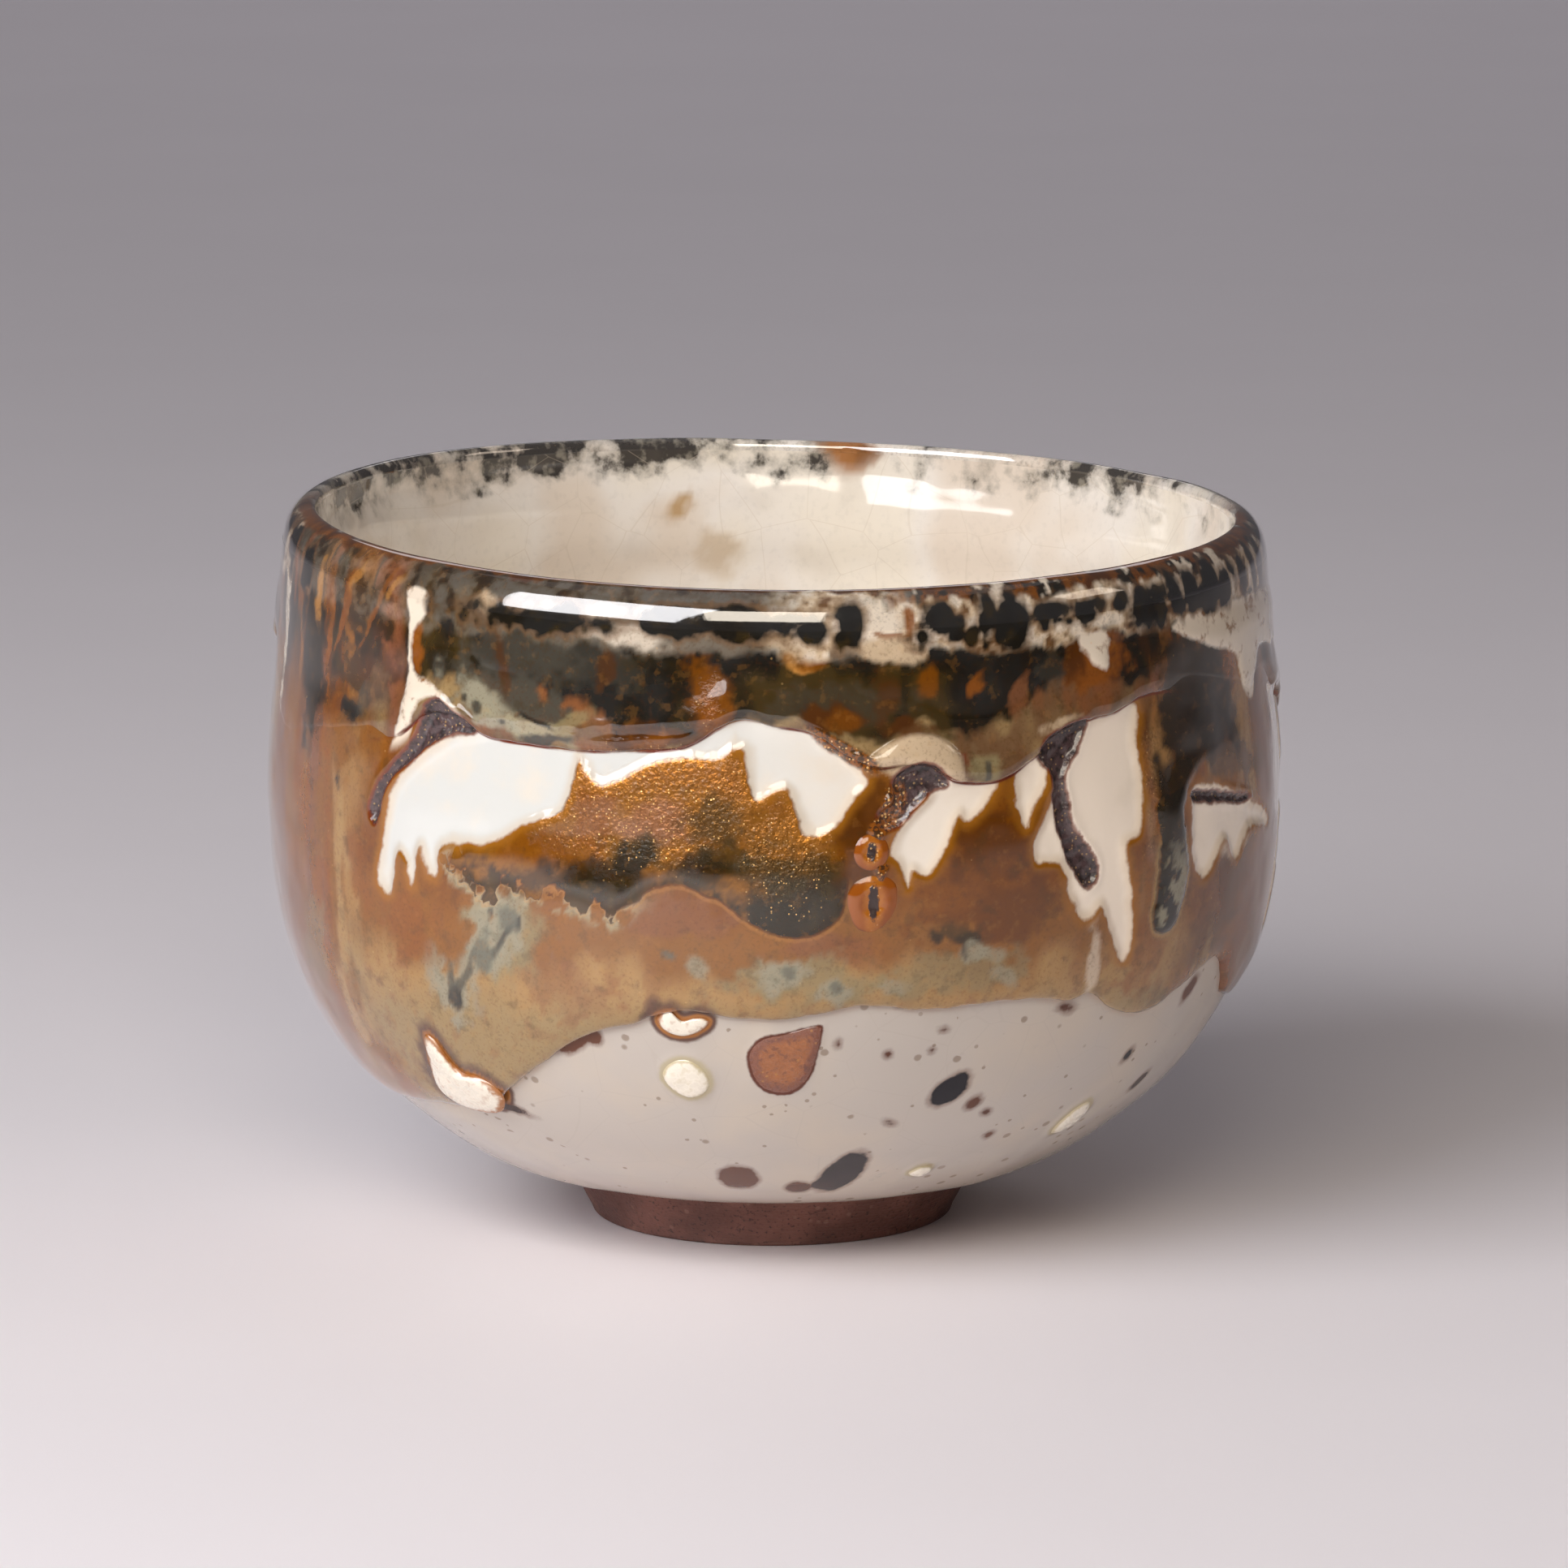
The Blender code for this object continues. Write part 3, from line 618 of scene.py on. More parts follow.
DARK_RIM = [
    (-10.5, 81.8, 4.6, 2.0, 0), (-4.5, 81.4, 4.4, 2.2, 0), (-3, 80.4, 6, 1.2, 0),
    (-23.2, 82.0, 1.2, 1.0, 0), (-30.8, 82.0, 1.2, 1.0, 0), (-28, 79.3, 9, 1.5, 0),
    (4, 79.4, 1.6, 1.0, 0),
]
RIM_CREAMS = [
    (CREAM, 0.95, -34.4, 82.2, 1.9, 1.2, 0),
    (PALE_CREAM, 0.95, -26.8, 82.2, 2.6, 1.2, 0),
    (PALE_CREAM, 0.95, -19.2, 82.1, 2.0, 1.3, 0),
    (PALE_CREAM, 0.95, -14.6, 82.1, 1.6, 1.2, 0),
    (PALE_CREAM, 0.95, 0.6, 81.9, 1.3, 1.1, 0),
    (CREAM, 0.85, 4.8, 81.4, 1.6, 1.4, 0),
    (PALE_CREAM, 0.95, 12, 80.4, 1.7, 2.2, -10),
    (ORANGE, 0.9, 14.8, 81.6, 0.7, 1.8, 6),
    (ORANGE, 0.8, 12.4, 78.6, 1.5, 0.4, 0),
    (HAZE, 0.8, -17, 78.2, 7, 1.6, 0),
    (PALE_CREAM, 0.7, -17, 77.9, 4.4, 1.0, 0),
    (HAZE, 0.75, -6.6, 78.4, 4.4, 1.2, 0),
    (CREAM, 0.6, 3, 77.9, 4.0, 1.0, 0),
    (HAZE, 0.6, 9, 77, 3.0, 1.4, 0),
    (CREAM, 0.9, 12.6, 77, 4.2, 1.3, 0),
]


def wall_noises(place):
    """Noises shared by the strokes: they bend their edges, and break them up."""
    tall = place * np.array([1, 1, 0.2])
    return {
        "across": 0.9 * noise(place, 5.0, 101) + 0.35 * noise(place, 1.6, 102),
        "up": 0.9 * noise(place, 5.0, 103) + 0.35 * noise(place, 1.6, 104),
        "grain": layered_noise(place, 1.5, 105),
        "streak": layered_noise(tall, 2.6, 21, 4),
        "wide_streak": layered_noise(tall, 6.0, 22, 3),
        "cloud": layered_noise(place, 9.0, 23),
    }


def blended(colours, mask, colour):
    """The colours with a colour, or other colours, laid over them as strongly as mask says."""
    return colours + mask[..., None] * (np.array(colour) - colours)


STROKE_REPEATS = 48  # strokes up to this turn are painted again round the back


def brushed(colours, strokes, turn, length, noises, places=ALL_ROUND, ragged=0.5):
    """The colours with soft strokes laid over them in order, all round the bowl."""
    for colour, strength, stroke_turn, height, half_width, half_length, lean in strokes:
        for move, lift, mirror in places if abs(stroke_turn) < STROKE_REPEATS else places[:1]:
            across = turned(turn - stroke_turn * mirror - move) * ARC + noises["across"]
            up = length - GROUND.length_at(height + lift) + noises["up"]
            reach = leaning_reach(across, up, half_width, half_length, lean * mirror)
            mask = strength * eased(-reach + ragged * noises["grain"], -1.35, -0.65)
            colours = blended(colours, mask, colour)
    return colours


def ramp(value, stops):
    """Colours read along a line of (value, colour) stops."""
    values = [stop[0] for stop in stops]
    return np.stack(
        [np.interp(value, values, [stop[1][k] for stop in stops]) for k in range(4)], axis=-1
    )


SIDE_STOPS = [
    (-0.5, ROSE), (-0.2, PINK_BROWN), (0.0, ORANGE), (0.2, AMBER_TAN), (0.36, PINK_TAN),
    (0.6, TAN),
]
SIDE_TOP_STOPS = [
    (-0.3, OLIVE_BLACK), (-0.05, OLIVE), (0.08, DEEP_AMBER), (0.2, AMBER), (0.3, AMBER_TAN),
]
TOP_STOPS = [
    (-0.4, DEEP_AMBER), (-0.1, AMBER), (0.05, BLACK), (0.3, OLIVE_BLACK), (0.45, PALE_CREAM),
]
LOW_STOPS = [
    (34, GREY_TAN), (38, TAN), (42, PINK_TAN), (46, AMBER_TAN), (50, AMBER), (56, AMBER),
    (64, AMBER_TAN),
]
BLACK_STOPS = [(-0.5, SLATE_BLACK), (0.0, BLACK), (0.25, OLIVE_BLACK), (0.6, OLIVE)]


def side_share(turn):
    """1 at the bowl's two sides, where the colours run in upright streaks."""
    left = eased(-turn, 46, 54) * eased(turn, -94, -84)
    right = eased(turn, 46, 54) * eased(-turn, -82, -74)
    return np.maximum(left, right)


def with_sides(colours, turn, length, height, noises):
    """The colours, with the two sides painted the same way on both coats."""
    sides = ramp(0.7 * noises["wide_streak"] + 0.5 * noises["streak"], SIDE_STOPS)
    run_down = eased(height + 3 * noises["cloud"], 62, 72)
    dark = eased(noises["wide_streak"] + 0.5 * noises["streak"], -0.6, -0.4) * run_down
    sides = blended(sides, dark, ramp(noises["streak"], SIDE_TOP_STOPS))
    sides = brushed(sides, SIDE_STROKES, turn, length, noises, places=(FRONT,))
    share = side_share(turn + 5 * noises["cloud"] + 4 * noises["wide_streak"])
    return blended(colours, share, sides)


def low_colours(turn, length, height, noises):
    """The amber coat: grey tan at its lower edge, pink tan, then amber."""
    level = height + 2.4 * noises["cloud"] + 1.6 * noises["streak"]
    colours = ramp(level, LOW_STOPS)
    speckled = eased(noises["grain"], 0.1, 0.5) * eased(-height, -50, -40)
    colours = blended(colours, 0.3 * speckled, PINK_BROWN)
    return brushed(colours, BELLY_STROKES, turn, length, noises)


def tongue_colours(turn, length, fields, noises):
    """The thicker tongue at the front: amber and copper, dark along its lower edge."""
    noisy = noises["cloud"] + 0.5 * noises["streak"]
    colours = ramp(noisy, [(-0.5, AMBER), (0.0, AMBER_TAN), (0.5, COPPER)])
    colours = brushed(colours, TONGUE_STROKES, turn, length, noises)
    depth = fields["tongue"] + 7.0 * noises["cloud"] + 3.0 * noises["grain"]
    dark = eased(-fields["height"], -55, -50) * eased(-depth, -3.8, -1.6)
    olive = ramp(noises["grain"], [(-0.3, OLIVE_BLACK), (0.4, OLIVE)])
    return blended(colours, 0.9 * dark, olive)


def beside_tongue(paint, fields, turn, noises):
    """The paint, with glassy grey pooled along the tongue's lower edge on the left."""
    grain = noises["grain"]
    glass = eased(fields["tongue"] + grain, -2.2, -1.0) * eased(-fields["height"], -56, -52)
    glass = glass * eased(grain, -0.15, 0.1) * eased(-turn, 12, 18) * eased(turn, -42, -38)
    return blended(paint, 0.85 * glass, PALE_GLASS)


def run_colours(colours, fields, noises):
    """The colours, with the run's over them: nearly black, and slate in its rounded end."""
    grain = noises["grain"]
    colours = blended(colours, eased(fields["run"], -1.2, -0.6), OLIVE_BLACK)
    end = eased(-fields["height"], -54, -48) * eased(fields["run"], -1.2, -0.6)
    inner = eased(fields["run"] + 0.3 * grain, 0.5, 1.0)
    colours = blended(colours, 0.85 * end * inner * eased(grain, -0.15, 0.1), BLUE_GREY)
    return blended(colours, end * eased(-grain, 0.05, 0.3), SLATE_BLACK)


def high_colours(turn, length, height, noises):
    """The black coat: a tan fringe, black over it, and the pale band with dark spots on top."""
    noisy = noises["cloud"] + 0.5 * noises["streak"]
    colours = ramp(noisy, [(-0.5, PINK_BROWN), (-0.1, FRINGE), (0.5, GREY_TAN)])
    edge = looped_edge(BLACK_COLOUR_EDGE, turn + noises["across"])
    above = height - edge + 1.1 * noises["streak"] + 0.8 * noises["grain"]
    colours = blended(colours, eased(above, -0.5, 0.9), ramp(noisy, BLACK_STOPS))
    colours = brushed(colours, HIGH_STROKES, turn, length, noises)
    colours = with_sides(colours, turn, length, height, noises)
    pale = eased(height + 1.2 * noises["streak"] + 0.6 * noises["grain"], 76.0, 77.2)
    pale = pale * np.clip(1 - eased(-turn, -8, 4) * eased(turn, -80, -74) + 0.12, 0, 1)
    flecked = ramp(noises["grain"], [(-0.4, PALE_CREAM), (0.1, CREAM), (0.5, FRINGE)])
    colours = blended(colours, pale, flecked)
    colours = brushed(colours, RIM_CREAMS, turn, length, noises, places=(FRONT,), ragged=0.35)
    near_top = eased(height + 1.3 * noises["streak"] + 0.4 * noises["grain"], 81.6, 82.6)
    near_top = near_top * eased(turn, 8, 18) * eased(-turn, -100, -86)
    streaked = ramp(noises["streak"] - 0.4 * noises["grain"], TOP_STOPS)
    return blended(colours, near_top, streaked)


def random_rim_spots():
    """Dark spots for the part of the rim that the front list leaves out."""
    draw = np.random.default_rng(7).uniform
    return [
        (turn + draw(-1.6, 1.6), draw(78.8, 81.6), draw(1.2, 3.0), draw(1.6, 3.4), draw(-14, 14))
        for turn in np.arange(100, 292, 6.5)
    ]


ALL_RIM_SPOTS = RIM_SPOTS + DARK_RIM + random_rim_spots()
# Gritty places beside the crater, in the same terms as the rim spots.
GRIT = [
    (7.6, 65.9, 0.9, 4.2, -58), (12.8, 59.4, 1.3, 2.6, 20), (11.4, 57, 0.8, 1.6, 20),
    (11.4, 52.4, 0.5, 1.4, 10),
]
# Where the copper shimmers with metal.
SHIMMER = [(-14, 59, 15, 8, -8), (1, 53, 6, 8, 0), (46, 60, 1.6, 9, 6), (-7, 70.6, 1.3, 3.4, 0)]


def wall_fields(turn, length, high):
    """What the shader needs at each point of the wall: distances into features, and paint."""
    height = GROUND.height_at(length)
    beyond = np.clip(length - GROUND.length_at(TOP_EDGE), 0, None)
    height = np.minimum(height, TOP_EDGE) + beyond
    radius, level = GROUND.at(np.minimum(length, GROUND.length_at(TOP_EDGE)), COAT)
    place = placed(radius, turn, level + beyond)
    noises = wall_noises(place)
    ragged = 0.3 * noises["grain"] + 0.2 * noise(place, 4.5, 4)
    bent = turn + ragged / ARC
    fields = {"height": height, "place": place, "noises": noises}
    fields["window"] = inside_any(bent, length + ragged, WINDOWS)
    fields["crack"] = inside_any(bent, length + 0.6 * ragged, CRACKS)
    fields["tongue"] = inside_any(turn + 0.4 * ragged, length + 0.5 * ragged, TONGUES)
    fields["run"] = inside_any(bent, length, RUNS)
    fields["cream"] = inside_any(bent, length + 0.5 * ragged, CREAMS)
    fields["hood"] = inside_any(turn, length, HOODS)
    fields["rim_dark"] = inside_spots(bent, length + ragged, ALL_RIM_SPOTS)
    fields["rim_dark"] += 0.5 * noises["grain"] + 0.7 * noises["streak"] + 0.1
    fields["above_edge"] = length - GROUND.length_at(looped_edge(BLACK_EDGE, turn))
    fields["edge_line"] = 1 - side_share(turn)
    fields["shimmer"] = inside_spots(bent, length, spots_all_round(SHIMMER, ALL_ROUND))
    fields["grit"] = inside_spots(bent, length, spots_all_round(GRIT, (FRONT, LEFT_BACK)))
    stones = at_places([LONG_STONE, HEART_STONE], (FRONT,))
    fields["stone"] = np.full(turn.shape, -FAR) if high else inside_any(bent, length, stones)
    if high:
        paint = high_colours(turn, length, height, noises)
    else:
        paint = low_colours(turn, length, height, noises)
        paint = beside_tongue(paint, fields, turn, noises)
        paint = with_sides(paint, turn, length, height, noises)
    tongue = tongue_colours(turn, length, fields, noises)
    joins_above = eased(fields["tongue"], -1.5, 1.5) * eased(height, 50, 53) * (not high)
    paint = blended(paint, joins_above, tongue)
    fields["paint"] = drawn_over(paint, fields, noises)
    fields["over_paint"] = run_colours(tongue, fields, noises)
    lower_tongue = fields["tongue"] - 8 * eased(height, 51, 57) - FAR * high
    lower_tongue = lower_tongue + 2.6 * noises["grain"] * eased(-turn, 12, 20)
    fields["over"] = np.maximum(lower_tongue, fields["run"] - 8 * eased(height, 56, 63))
    return fields


def spots_all_round(spots, places):
    """The spots again at each place round the bowl."""
    return [
        (turn * mirror + move, height + lift, half_width, half_length, lean * mirror)
        for turn, height, half_width, half_length, lean in spots
        for move, lift, mirror in places
    ]


def drawn_over(paint, fields, noises):
    """The paint with the stones' halos, the run and the hood over it."""
    grain = noises["grain"]
    around = eased(fields["stone"] + 0.5 * grain, -2.4, -0.9)
    paint = blended(paint, 0.9 * around, HALO)
    paint = blended(paint, eased(fields["stone"], -0.6, -0.25), STONE_EDGE)
    source = eased(fields["run"] + 1.6 * noises["streak"] + grain, -1.6, 0.8)
    paint = blended(paint, 0.95 * source * eased(fields["height"], 54, 58), OLIVE_BLACK)
    halo = eased(fields["run"], -1.0, -0.2) * eased(-fields["height"], -54, -50)
    paint = blended(paint, 0.8 * halo, GREY_GREEN)
    paint = blended(paint, 0.95 * eased(fields["hood"] + 0.3 * grain, -0.3, 0.5), CREAM)
    return paint


# How thick the roll along the black coat's lower edge is at each turn, in millimetres.
ROLL_TURNS = [
    (-180, 0.5), (-150, 0.6), (-120, 0.6), (-92, 0.5), (-76, 0.12), (-50, 0.12), (-41, 0.6),
    (-20, 0.6), (24, 0.65), (44, 0.4), (60, 0.25), (80, 0.45), (110, 0.55), (150, 0.55),
]


def coat_relief(fields):
    """How far out the amber coat's face lies from the ground face, in hollows and lumps."""
    place = fields["place"]
    out = COAT + 0.16 * noise(place, 9.0, 31) + 0.05 * noise(place, 3.2, 32)
    out -= 0.4 * eased(fields["window"], -0.6, 1.2)
    out += 0.34 * rolled(fields["tongue"], 1.3) * eased(-fields["height"], -56, -48)
    out += 0.6 * rolled(fields["run"], 1.6) * eased(-fields["height"], -62, -54)
    gritty = 0.25 * noise(place, 0.7, 34) + 0.2 * noise(place, 1.5, 35)
    deep = eased(fields["crack"], -0.2, 0.5)
    lifted = eased(fields["crack"], -1.4, -0.2) * (1 - deep)
    out = out + 0.15 * lifted + deep * (0.5 * gritty - 0.6)
    return out + eased(fields["grit"], -0.3, 0.3) * (0.2 + gritty)


# ---------------------------------------------------------------- meshes
SHARP_EDGE = math.radians(62)  # faces that meet at more than this stay sharp


def make_mesh(name, rings, fields, closed_loop):
    """A mesh of rings of points round the bowl, with a number or a colour at each point.

    rings is (rows, columns, 3). A field is (rows, columns), or (rows, columns, 4) for colours.
    """
    rows, columns = rings.shape[:2]
    index = np.arange(rows * columns).reshape(rows, columns)
    if closed_loop:
        lower, upper = index, np.roll(index, -1, axis=0)
    else:
        lower, upper = index[:-1], index[1:]
    corners = [lower, np.roll(lower, -1, axis=1), np.roll(upper, -1, axis=1), upper]
    faces = np.stack(corners, axis=-1).reshape(-1, 4)
    mesh = bpy.data.meshes.new(name)
    mesh.vertices.add(rows * columns)
    mesh.vertices.foreach_set("co", (rings.reshape(-1) * MM).astype(np.float32))
    mesh.loops.add(faces.size)
    mesh.loops.foreach_set("vertex_index", faces.reshape(-1).astype(np.int32))
    mesh.polygons.add(len(faces))
    mesh.polygons.foreach_set("loop_start", np.arange(len(faces), dtype=np.int32) * 4)
    mesh.update(calc_edges=True)
    mesh.validate()
    for field, values in fields.items():
        is_colour = values.ndim == 3
        attribute = mesh.attributes.new(field, "FLOAT_COLOR" if is_colour else "FLOAT", "POINT")
        values = values.reshape(-1).astype(np.float32)
        attribute.data.foreach_set("color" if is_colour else "value", values)
    mesh.shade_smooth()
    mesh.set_sharp_from_angle(angle=SHARP_EDGE)
    made = bpy.data.objects.new(name, mesh)
    bpy.context.scene.collection.objects.link(made)
    return made


def turns_round(rows, columns=COLUMNS):
    """The turn of each point in a grid of rows that go round the bowl."""
    return np.broadcast_to(np.arange(columns) * 360 / columns - 180, (rows, columns))


COLUMN_TURNS = turns_round(1)[0]
SHADER_FIELDS = (
    "window", "crack", "grit", "cream", "rim_dark", "above_edge", "shimmer", "height",
    "edge_line", "over", "paint", "over_paint",
)
BACK_ROWS = 6  # rows on the hidden side of a coat


def on_wall(profile, lengths, out, turns):
    """Points at these lengths along a profile, out from it, round the bowl."""
    radius, height = profile.at(lengths, out)
    return placed(radius, turns, height)


def with_back_rows(face_values, rows_of_face):
    """A field's values for the shell's face and for the rows behind it."""
    return np.concatenate([face_values, face_values[rows_of_face]])


def closed_shell(name, lengths, out, backing, fields):
    """A closed shell on the wall, with its face and its back this far out from the ground face."""
    face = on_wall(GROUND, lengths, out, turns_round(len(lengths)))
    share = np.linspace(1, 0, BACK_ROWS)[:, None]
    back_lengths = lengths[0] + (lengths[-1] - lengths[0]) * share
    back = on_wall(GROUND, back_lengths, backing, turns_round(BACK_ROWS))
    rows_of_face = np.round(share[:, 0] * (len(lengths) - 1)).astype(int)
    values = {key: with_back_rows(value, rows_of_face) for key, value in fields.items()}
    return make_mesh(name, np.concatenate([face, back]), values, closed_loop=True)


def coat_shell(name, lengths, relief, backing, high):
    """A poured coat, whose face follows relief."""
    turns = turns_round(len(lengths))
    fields = wall_fields(turns, lengths, high)
    out = relief(fields, lengths)
    return closed_shell(name, lengths, out, backing, {key: fields[key] for key in SHADER_FIELDS})


def spaced(low, high, rows, crowding=1.0):
    """Rows from low to high, closer together at the low edge where crowding is over 1."""
    return low + (high - low) * np.linspace(0, 1, rows)[:, None] ** crowding


def edge_places(length):
    """Points at these lengths up the wall, one for each column."""
    return on_wall(GROUND, length, COAT, COLUMN_TURNS)


def make_amber_glaze():
    """The amber coat, with a rounded lower edge, up to where the black coat hides it."""
    rows = 92
    bottom = GROUND.length_at(looped_edge(AMBER_EDGE, COLUMN_TURNS))
    bottom += 0.3 * layered_noise(edge_places(bottom), 4.0, 41)
    top = GROUND.length_at(looped_edge(BLACK_EDGE, COLUMN_TURNS))
    top += 1.2 + 2.3 * side_share(COLUMN_TURNS)
    lengths = spaced(bottom, top, rows)

    def relief(fields, where):
        from_edge = where - where[0]
        out = coat_relief(fields)
        start = -0.12
        rise = 0.35 * rolled(from_edge, 0.5) + 0.65 * rolled(from_edge, 3.0)
        return start + (out - start) * rise

    return coat_shell("amber_glaze_coat", lengths, relief, -0.35, high=False)


def make_black_glaze():
    """The black coat, with a thick roll along its lower edge, up to the lip."""
    rows = 88
    bottom = GROUND.length_at(looped_edge(BLACK_EDGE, COLUMN_TURNS))
    bottom += 0.2 * layered_noise(edge_places(bottom), 3.0, 42)
    top = np.full(COLUMNS, GROUND.length_at(TOP_EDGE))
    lengths = spaced(bottom, top, rows, crowding=1.4)
    thickness = looped_edge(ROLL_TURNS, COLUMN_TURNS)

    def relief(fields, where):
        from_edge = where - where[0]
        under = coat_relief(fields)
        roll = 0.12 + thickness * np.exp(-np.clip(from_edge - 1.4, 0, None) / 4.5)
        raised = under + roll * rolled(from_edge, 1.5) - 0.25 * (1 - rolled(from_edge, 0.35))
        hidden = under + 0.03 - 0.3 * (1 - eased(from_edge, 0.2, 2.4))
        raised = raised + side_share(COLUMN_TURNS) * (hidden - raised)
        flat = COAT + 0.1 * noise(fields["place"], 8.0, 51)
        settled = eased(from_edge, 3.0, 8.0)
        out = raised * (1 - settled) + flat * settled
        below_lip = 1 - eased(where, where[-1] - 6, where[-1] - 2)
        out = out + 0.3 * rolled(fields["cream"], 1.6) * below_lip
        out = out + 0.5 * rolled(fields["hood"], 2.0)
        at_top = eased(where, where[-1] - 3.5, where[-1])
        return out * (1 - at_top) + lip_meets_wall() * at_top

    return coat_shell("black_glaze_coat", lengths, relief, -0.3, high=True)


# The lip's cross-section: a quarter of a tall oval outside, and of a small one inside.
OUTER_OVAL = (3.3, 5.0)
INNER_OVAL = (0.8, 1.3)
LIP_TOP_RADIUS = 54.4
LIP_TOP = 83.6
LIP_START = 8.0  # degrees


def lip_section(angles, shrink=0.0):
    """The lip's (radius, height) at angles from the outer wall over the top to the inside."""
    angles = np.radians(angles)
    outside = angles < math.pi / 2
    wide = np.where(outside, OUTER_OVAL[0], INNER_OVAL[0]) - shrink
    tall = np.where(outside, OUTER_OVAL[1], INNER_OVAL[1])
    middle = LIP_TOP - tall
    return LIP_TOP_RADIUS + wide * np.cos(angles), middle + (tall - shrink) * np.sin(angles)


def lip_meets_wall():
    """How far out of the ground face the lip starts."""
    return float(lip_section(LIP_START)[0]) - float(GROUND.at(GROUND.length_at(TOP_EDGE), 0.0)[0])


def make_lip_glaze():
    """The roll over the lip, from the outer wall to the lining."""
    outer_rows, inner_rows, under_rows = ((34, 12, 10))
    outer_angles = np.linspace(LIP_START, 90, outer_rows)
    angles = np.concatenate([outer_angles, np.linspace(90, 180, inner_rows)[1:]])
    radius, height = lip_section(angles)
    steps = np.hypot(np.diff(radius), np.diff(height))
    past = np.concatenate([[0], np.cumsum(steps)])[:, None]
    turns = turns_round(len(angles))
    lengths = np.broadcast_to(GROUND.length_at(TOP_EDGE) + past, turns.shape)
    fields = wall_fields(turns, lengths, high=True)
    fields["paint"] = lip_edge_colours(fields, turns, past)
    uneven = 0.1 * noise(fields["place"], 12.0, 61) * np.sin(np.radians(angles))[:, None]
    face = placed(radius[:, None] + uneven, turns, height[:, None] + uneven)
    under_angles = np.linspace(180, LIP_START, under_rows)
    under_radius, under_height = lip_section(under_angles, shrink=0.7)
    under = placed(under_radius[:, None], turns_round(under_rows), under_height[:, None])
    rows_of_face = np.linspace(len(angles) - 1, 0, under_rows).round().astype(int)
    kept = (*SHADER_FIELDS, "mottle")
    values = {key: with_back_rows(fields[key], rows_of_face) for key in kept}
    return make_mesh("lip_glaze_roll", np.concatenate([face, under]), values, closed_loop=True)


LIP_LINE_STOPS = [(-0.5, DEEP_AMBER), (0.0, AMBER), (0.4, ORANGE)]
# How wide the amber line along the lip is at each turn, in millimetres.
LIP_LINE = [
    (-180, 0.2), (-150, 0.2), (-110, 0.8), (-80, 1.5), (-62, 1.5), (-48, 1.2), (-35, 0.9),
    (-20, 0.6), (-8, 0.4), (4, 0.4), (14, 0.6), (24, 0.6), (34, 0.7), (46, 1.0), (58, 1.2),
    (72, 1.4), (90, 0.8), (130, 0.3),
]


# How much of the lip's inner round, in millimetres along it, is lined like the inside.
INNER_ARC = 1.7


def lip_edge_colours(fields, turns, past):
    """The paint, with an amber line over the top and the lining's colours on the inside."""
    noises = fields["noises"]
    above_arc = past[-1, 0] - past - INNER_ARC  # from the end of the inner round up over the lip
    below = np.broadcast_to(-above_arc, turns.shape)
    reach = above_arc + 0.9 * noises["streak"] + 0.3 * noises["grain"]
    amber = eased(looped_edge(LIP_LINE, turns) + 0.5 - reach, 0.0, 0.7)
    line = ramp(noises["streak"] + 0.4 * noises["cloud"], LIP_LINE_STOPS)
    lining = lining_colours(turns, below, fields["place"])
    far_side = eased(np.abs(turns), 88, 104) * eased(-reach, -2.2, -1.2)
    near_side = (1 - far_side) * eased(-reach, 0.1, 0.9)
    lined = np.maximum(far_side, near_side)
    fields["rim_dark"] = fields["rim_dark"] - 3.0 * np.maximum(amber * (1 - far_side), lined)
    fields["mottle"] = mottle_share(turns, below) * lined
    return blended(blended(fields["paint"], 0.95 * amber, line), lined, lining)


LINING_CREAM = srgb(240, 233, 224)
LINING_TAUPE_AND_SHADE = srgb(160, 142, 124)
LINING_DARK = srgb(66, 62, 58)
LINING_GREY = srgb(134, 128, 116)
LINING_STOPS = [(-0.6, srgb(230, 217, 202)), (0.0, LINING_CREAM), (0.6, srgb(240, 231, 216))]
LINING_ARC = math.radians(53.0)  # millimetres round the lining for one degree
# How strong the dark mottles under the lip are at each turn: most at the back left.
MOTTLE_STRENGTH = [
    (-180, 0.9), (-150, 1.0), (-120, 1.0), (-90, 0.9), (-60, 0.6), (0, 0.5), (60, 0.5),
    (90, 0.35), (110, 0.45), (130, 0.7), (150, 0.65), (160, 0.8), (165, 0.1), (172, 0.1),
    (176, 0.9),
]
# Strokes inside the bowl: colour, strength, turn, depth below the lip, half width, half
# length, and lean, as on the outside. The taupe ones on the inside left are partly the
# glaze's taupe mottles and partly painted shade under the left rim.
LINING_STROKES = [
    (srgb(160, 98, 30), 0.95, 171, 0.8, 3.6, 3.0, 0),
    (srgb(120, 74, 30), 0.7, 168, 1.4, 1.4, 1.2, 0),
    (srgb(186, 148, 96), 0.85, -167, 9.4, 2.6, 1.4, 40),
    (srgb(196, 168, 128), 0.6, -172, 14.2, 2.2, 3.0, 20),
    # Partly painted shade: taupe on the inside left, below the rim.
    (LINING_TAUPE_AND_SHADE, 0.1, -132, 9, 8, 4, 0),
    (LINING_TAUPE_AND_SHADE, 0.1, -112, 8, 8, 5, 0),
    (LINING_TAUPE_AND_SHADE, 0.2, -96, 12, 9, 6, 0),
]


def mottle_share(turn, below):
    """How strongly the lip's dark mottles show at a depth in millimetres below the lip."""
    return looped_edge(MOTTLE_STRENGTH, turn) * eased(-below, -7.5, -2.0)


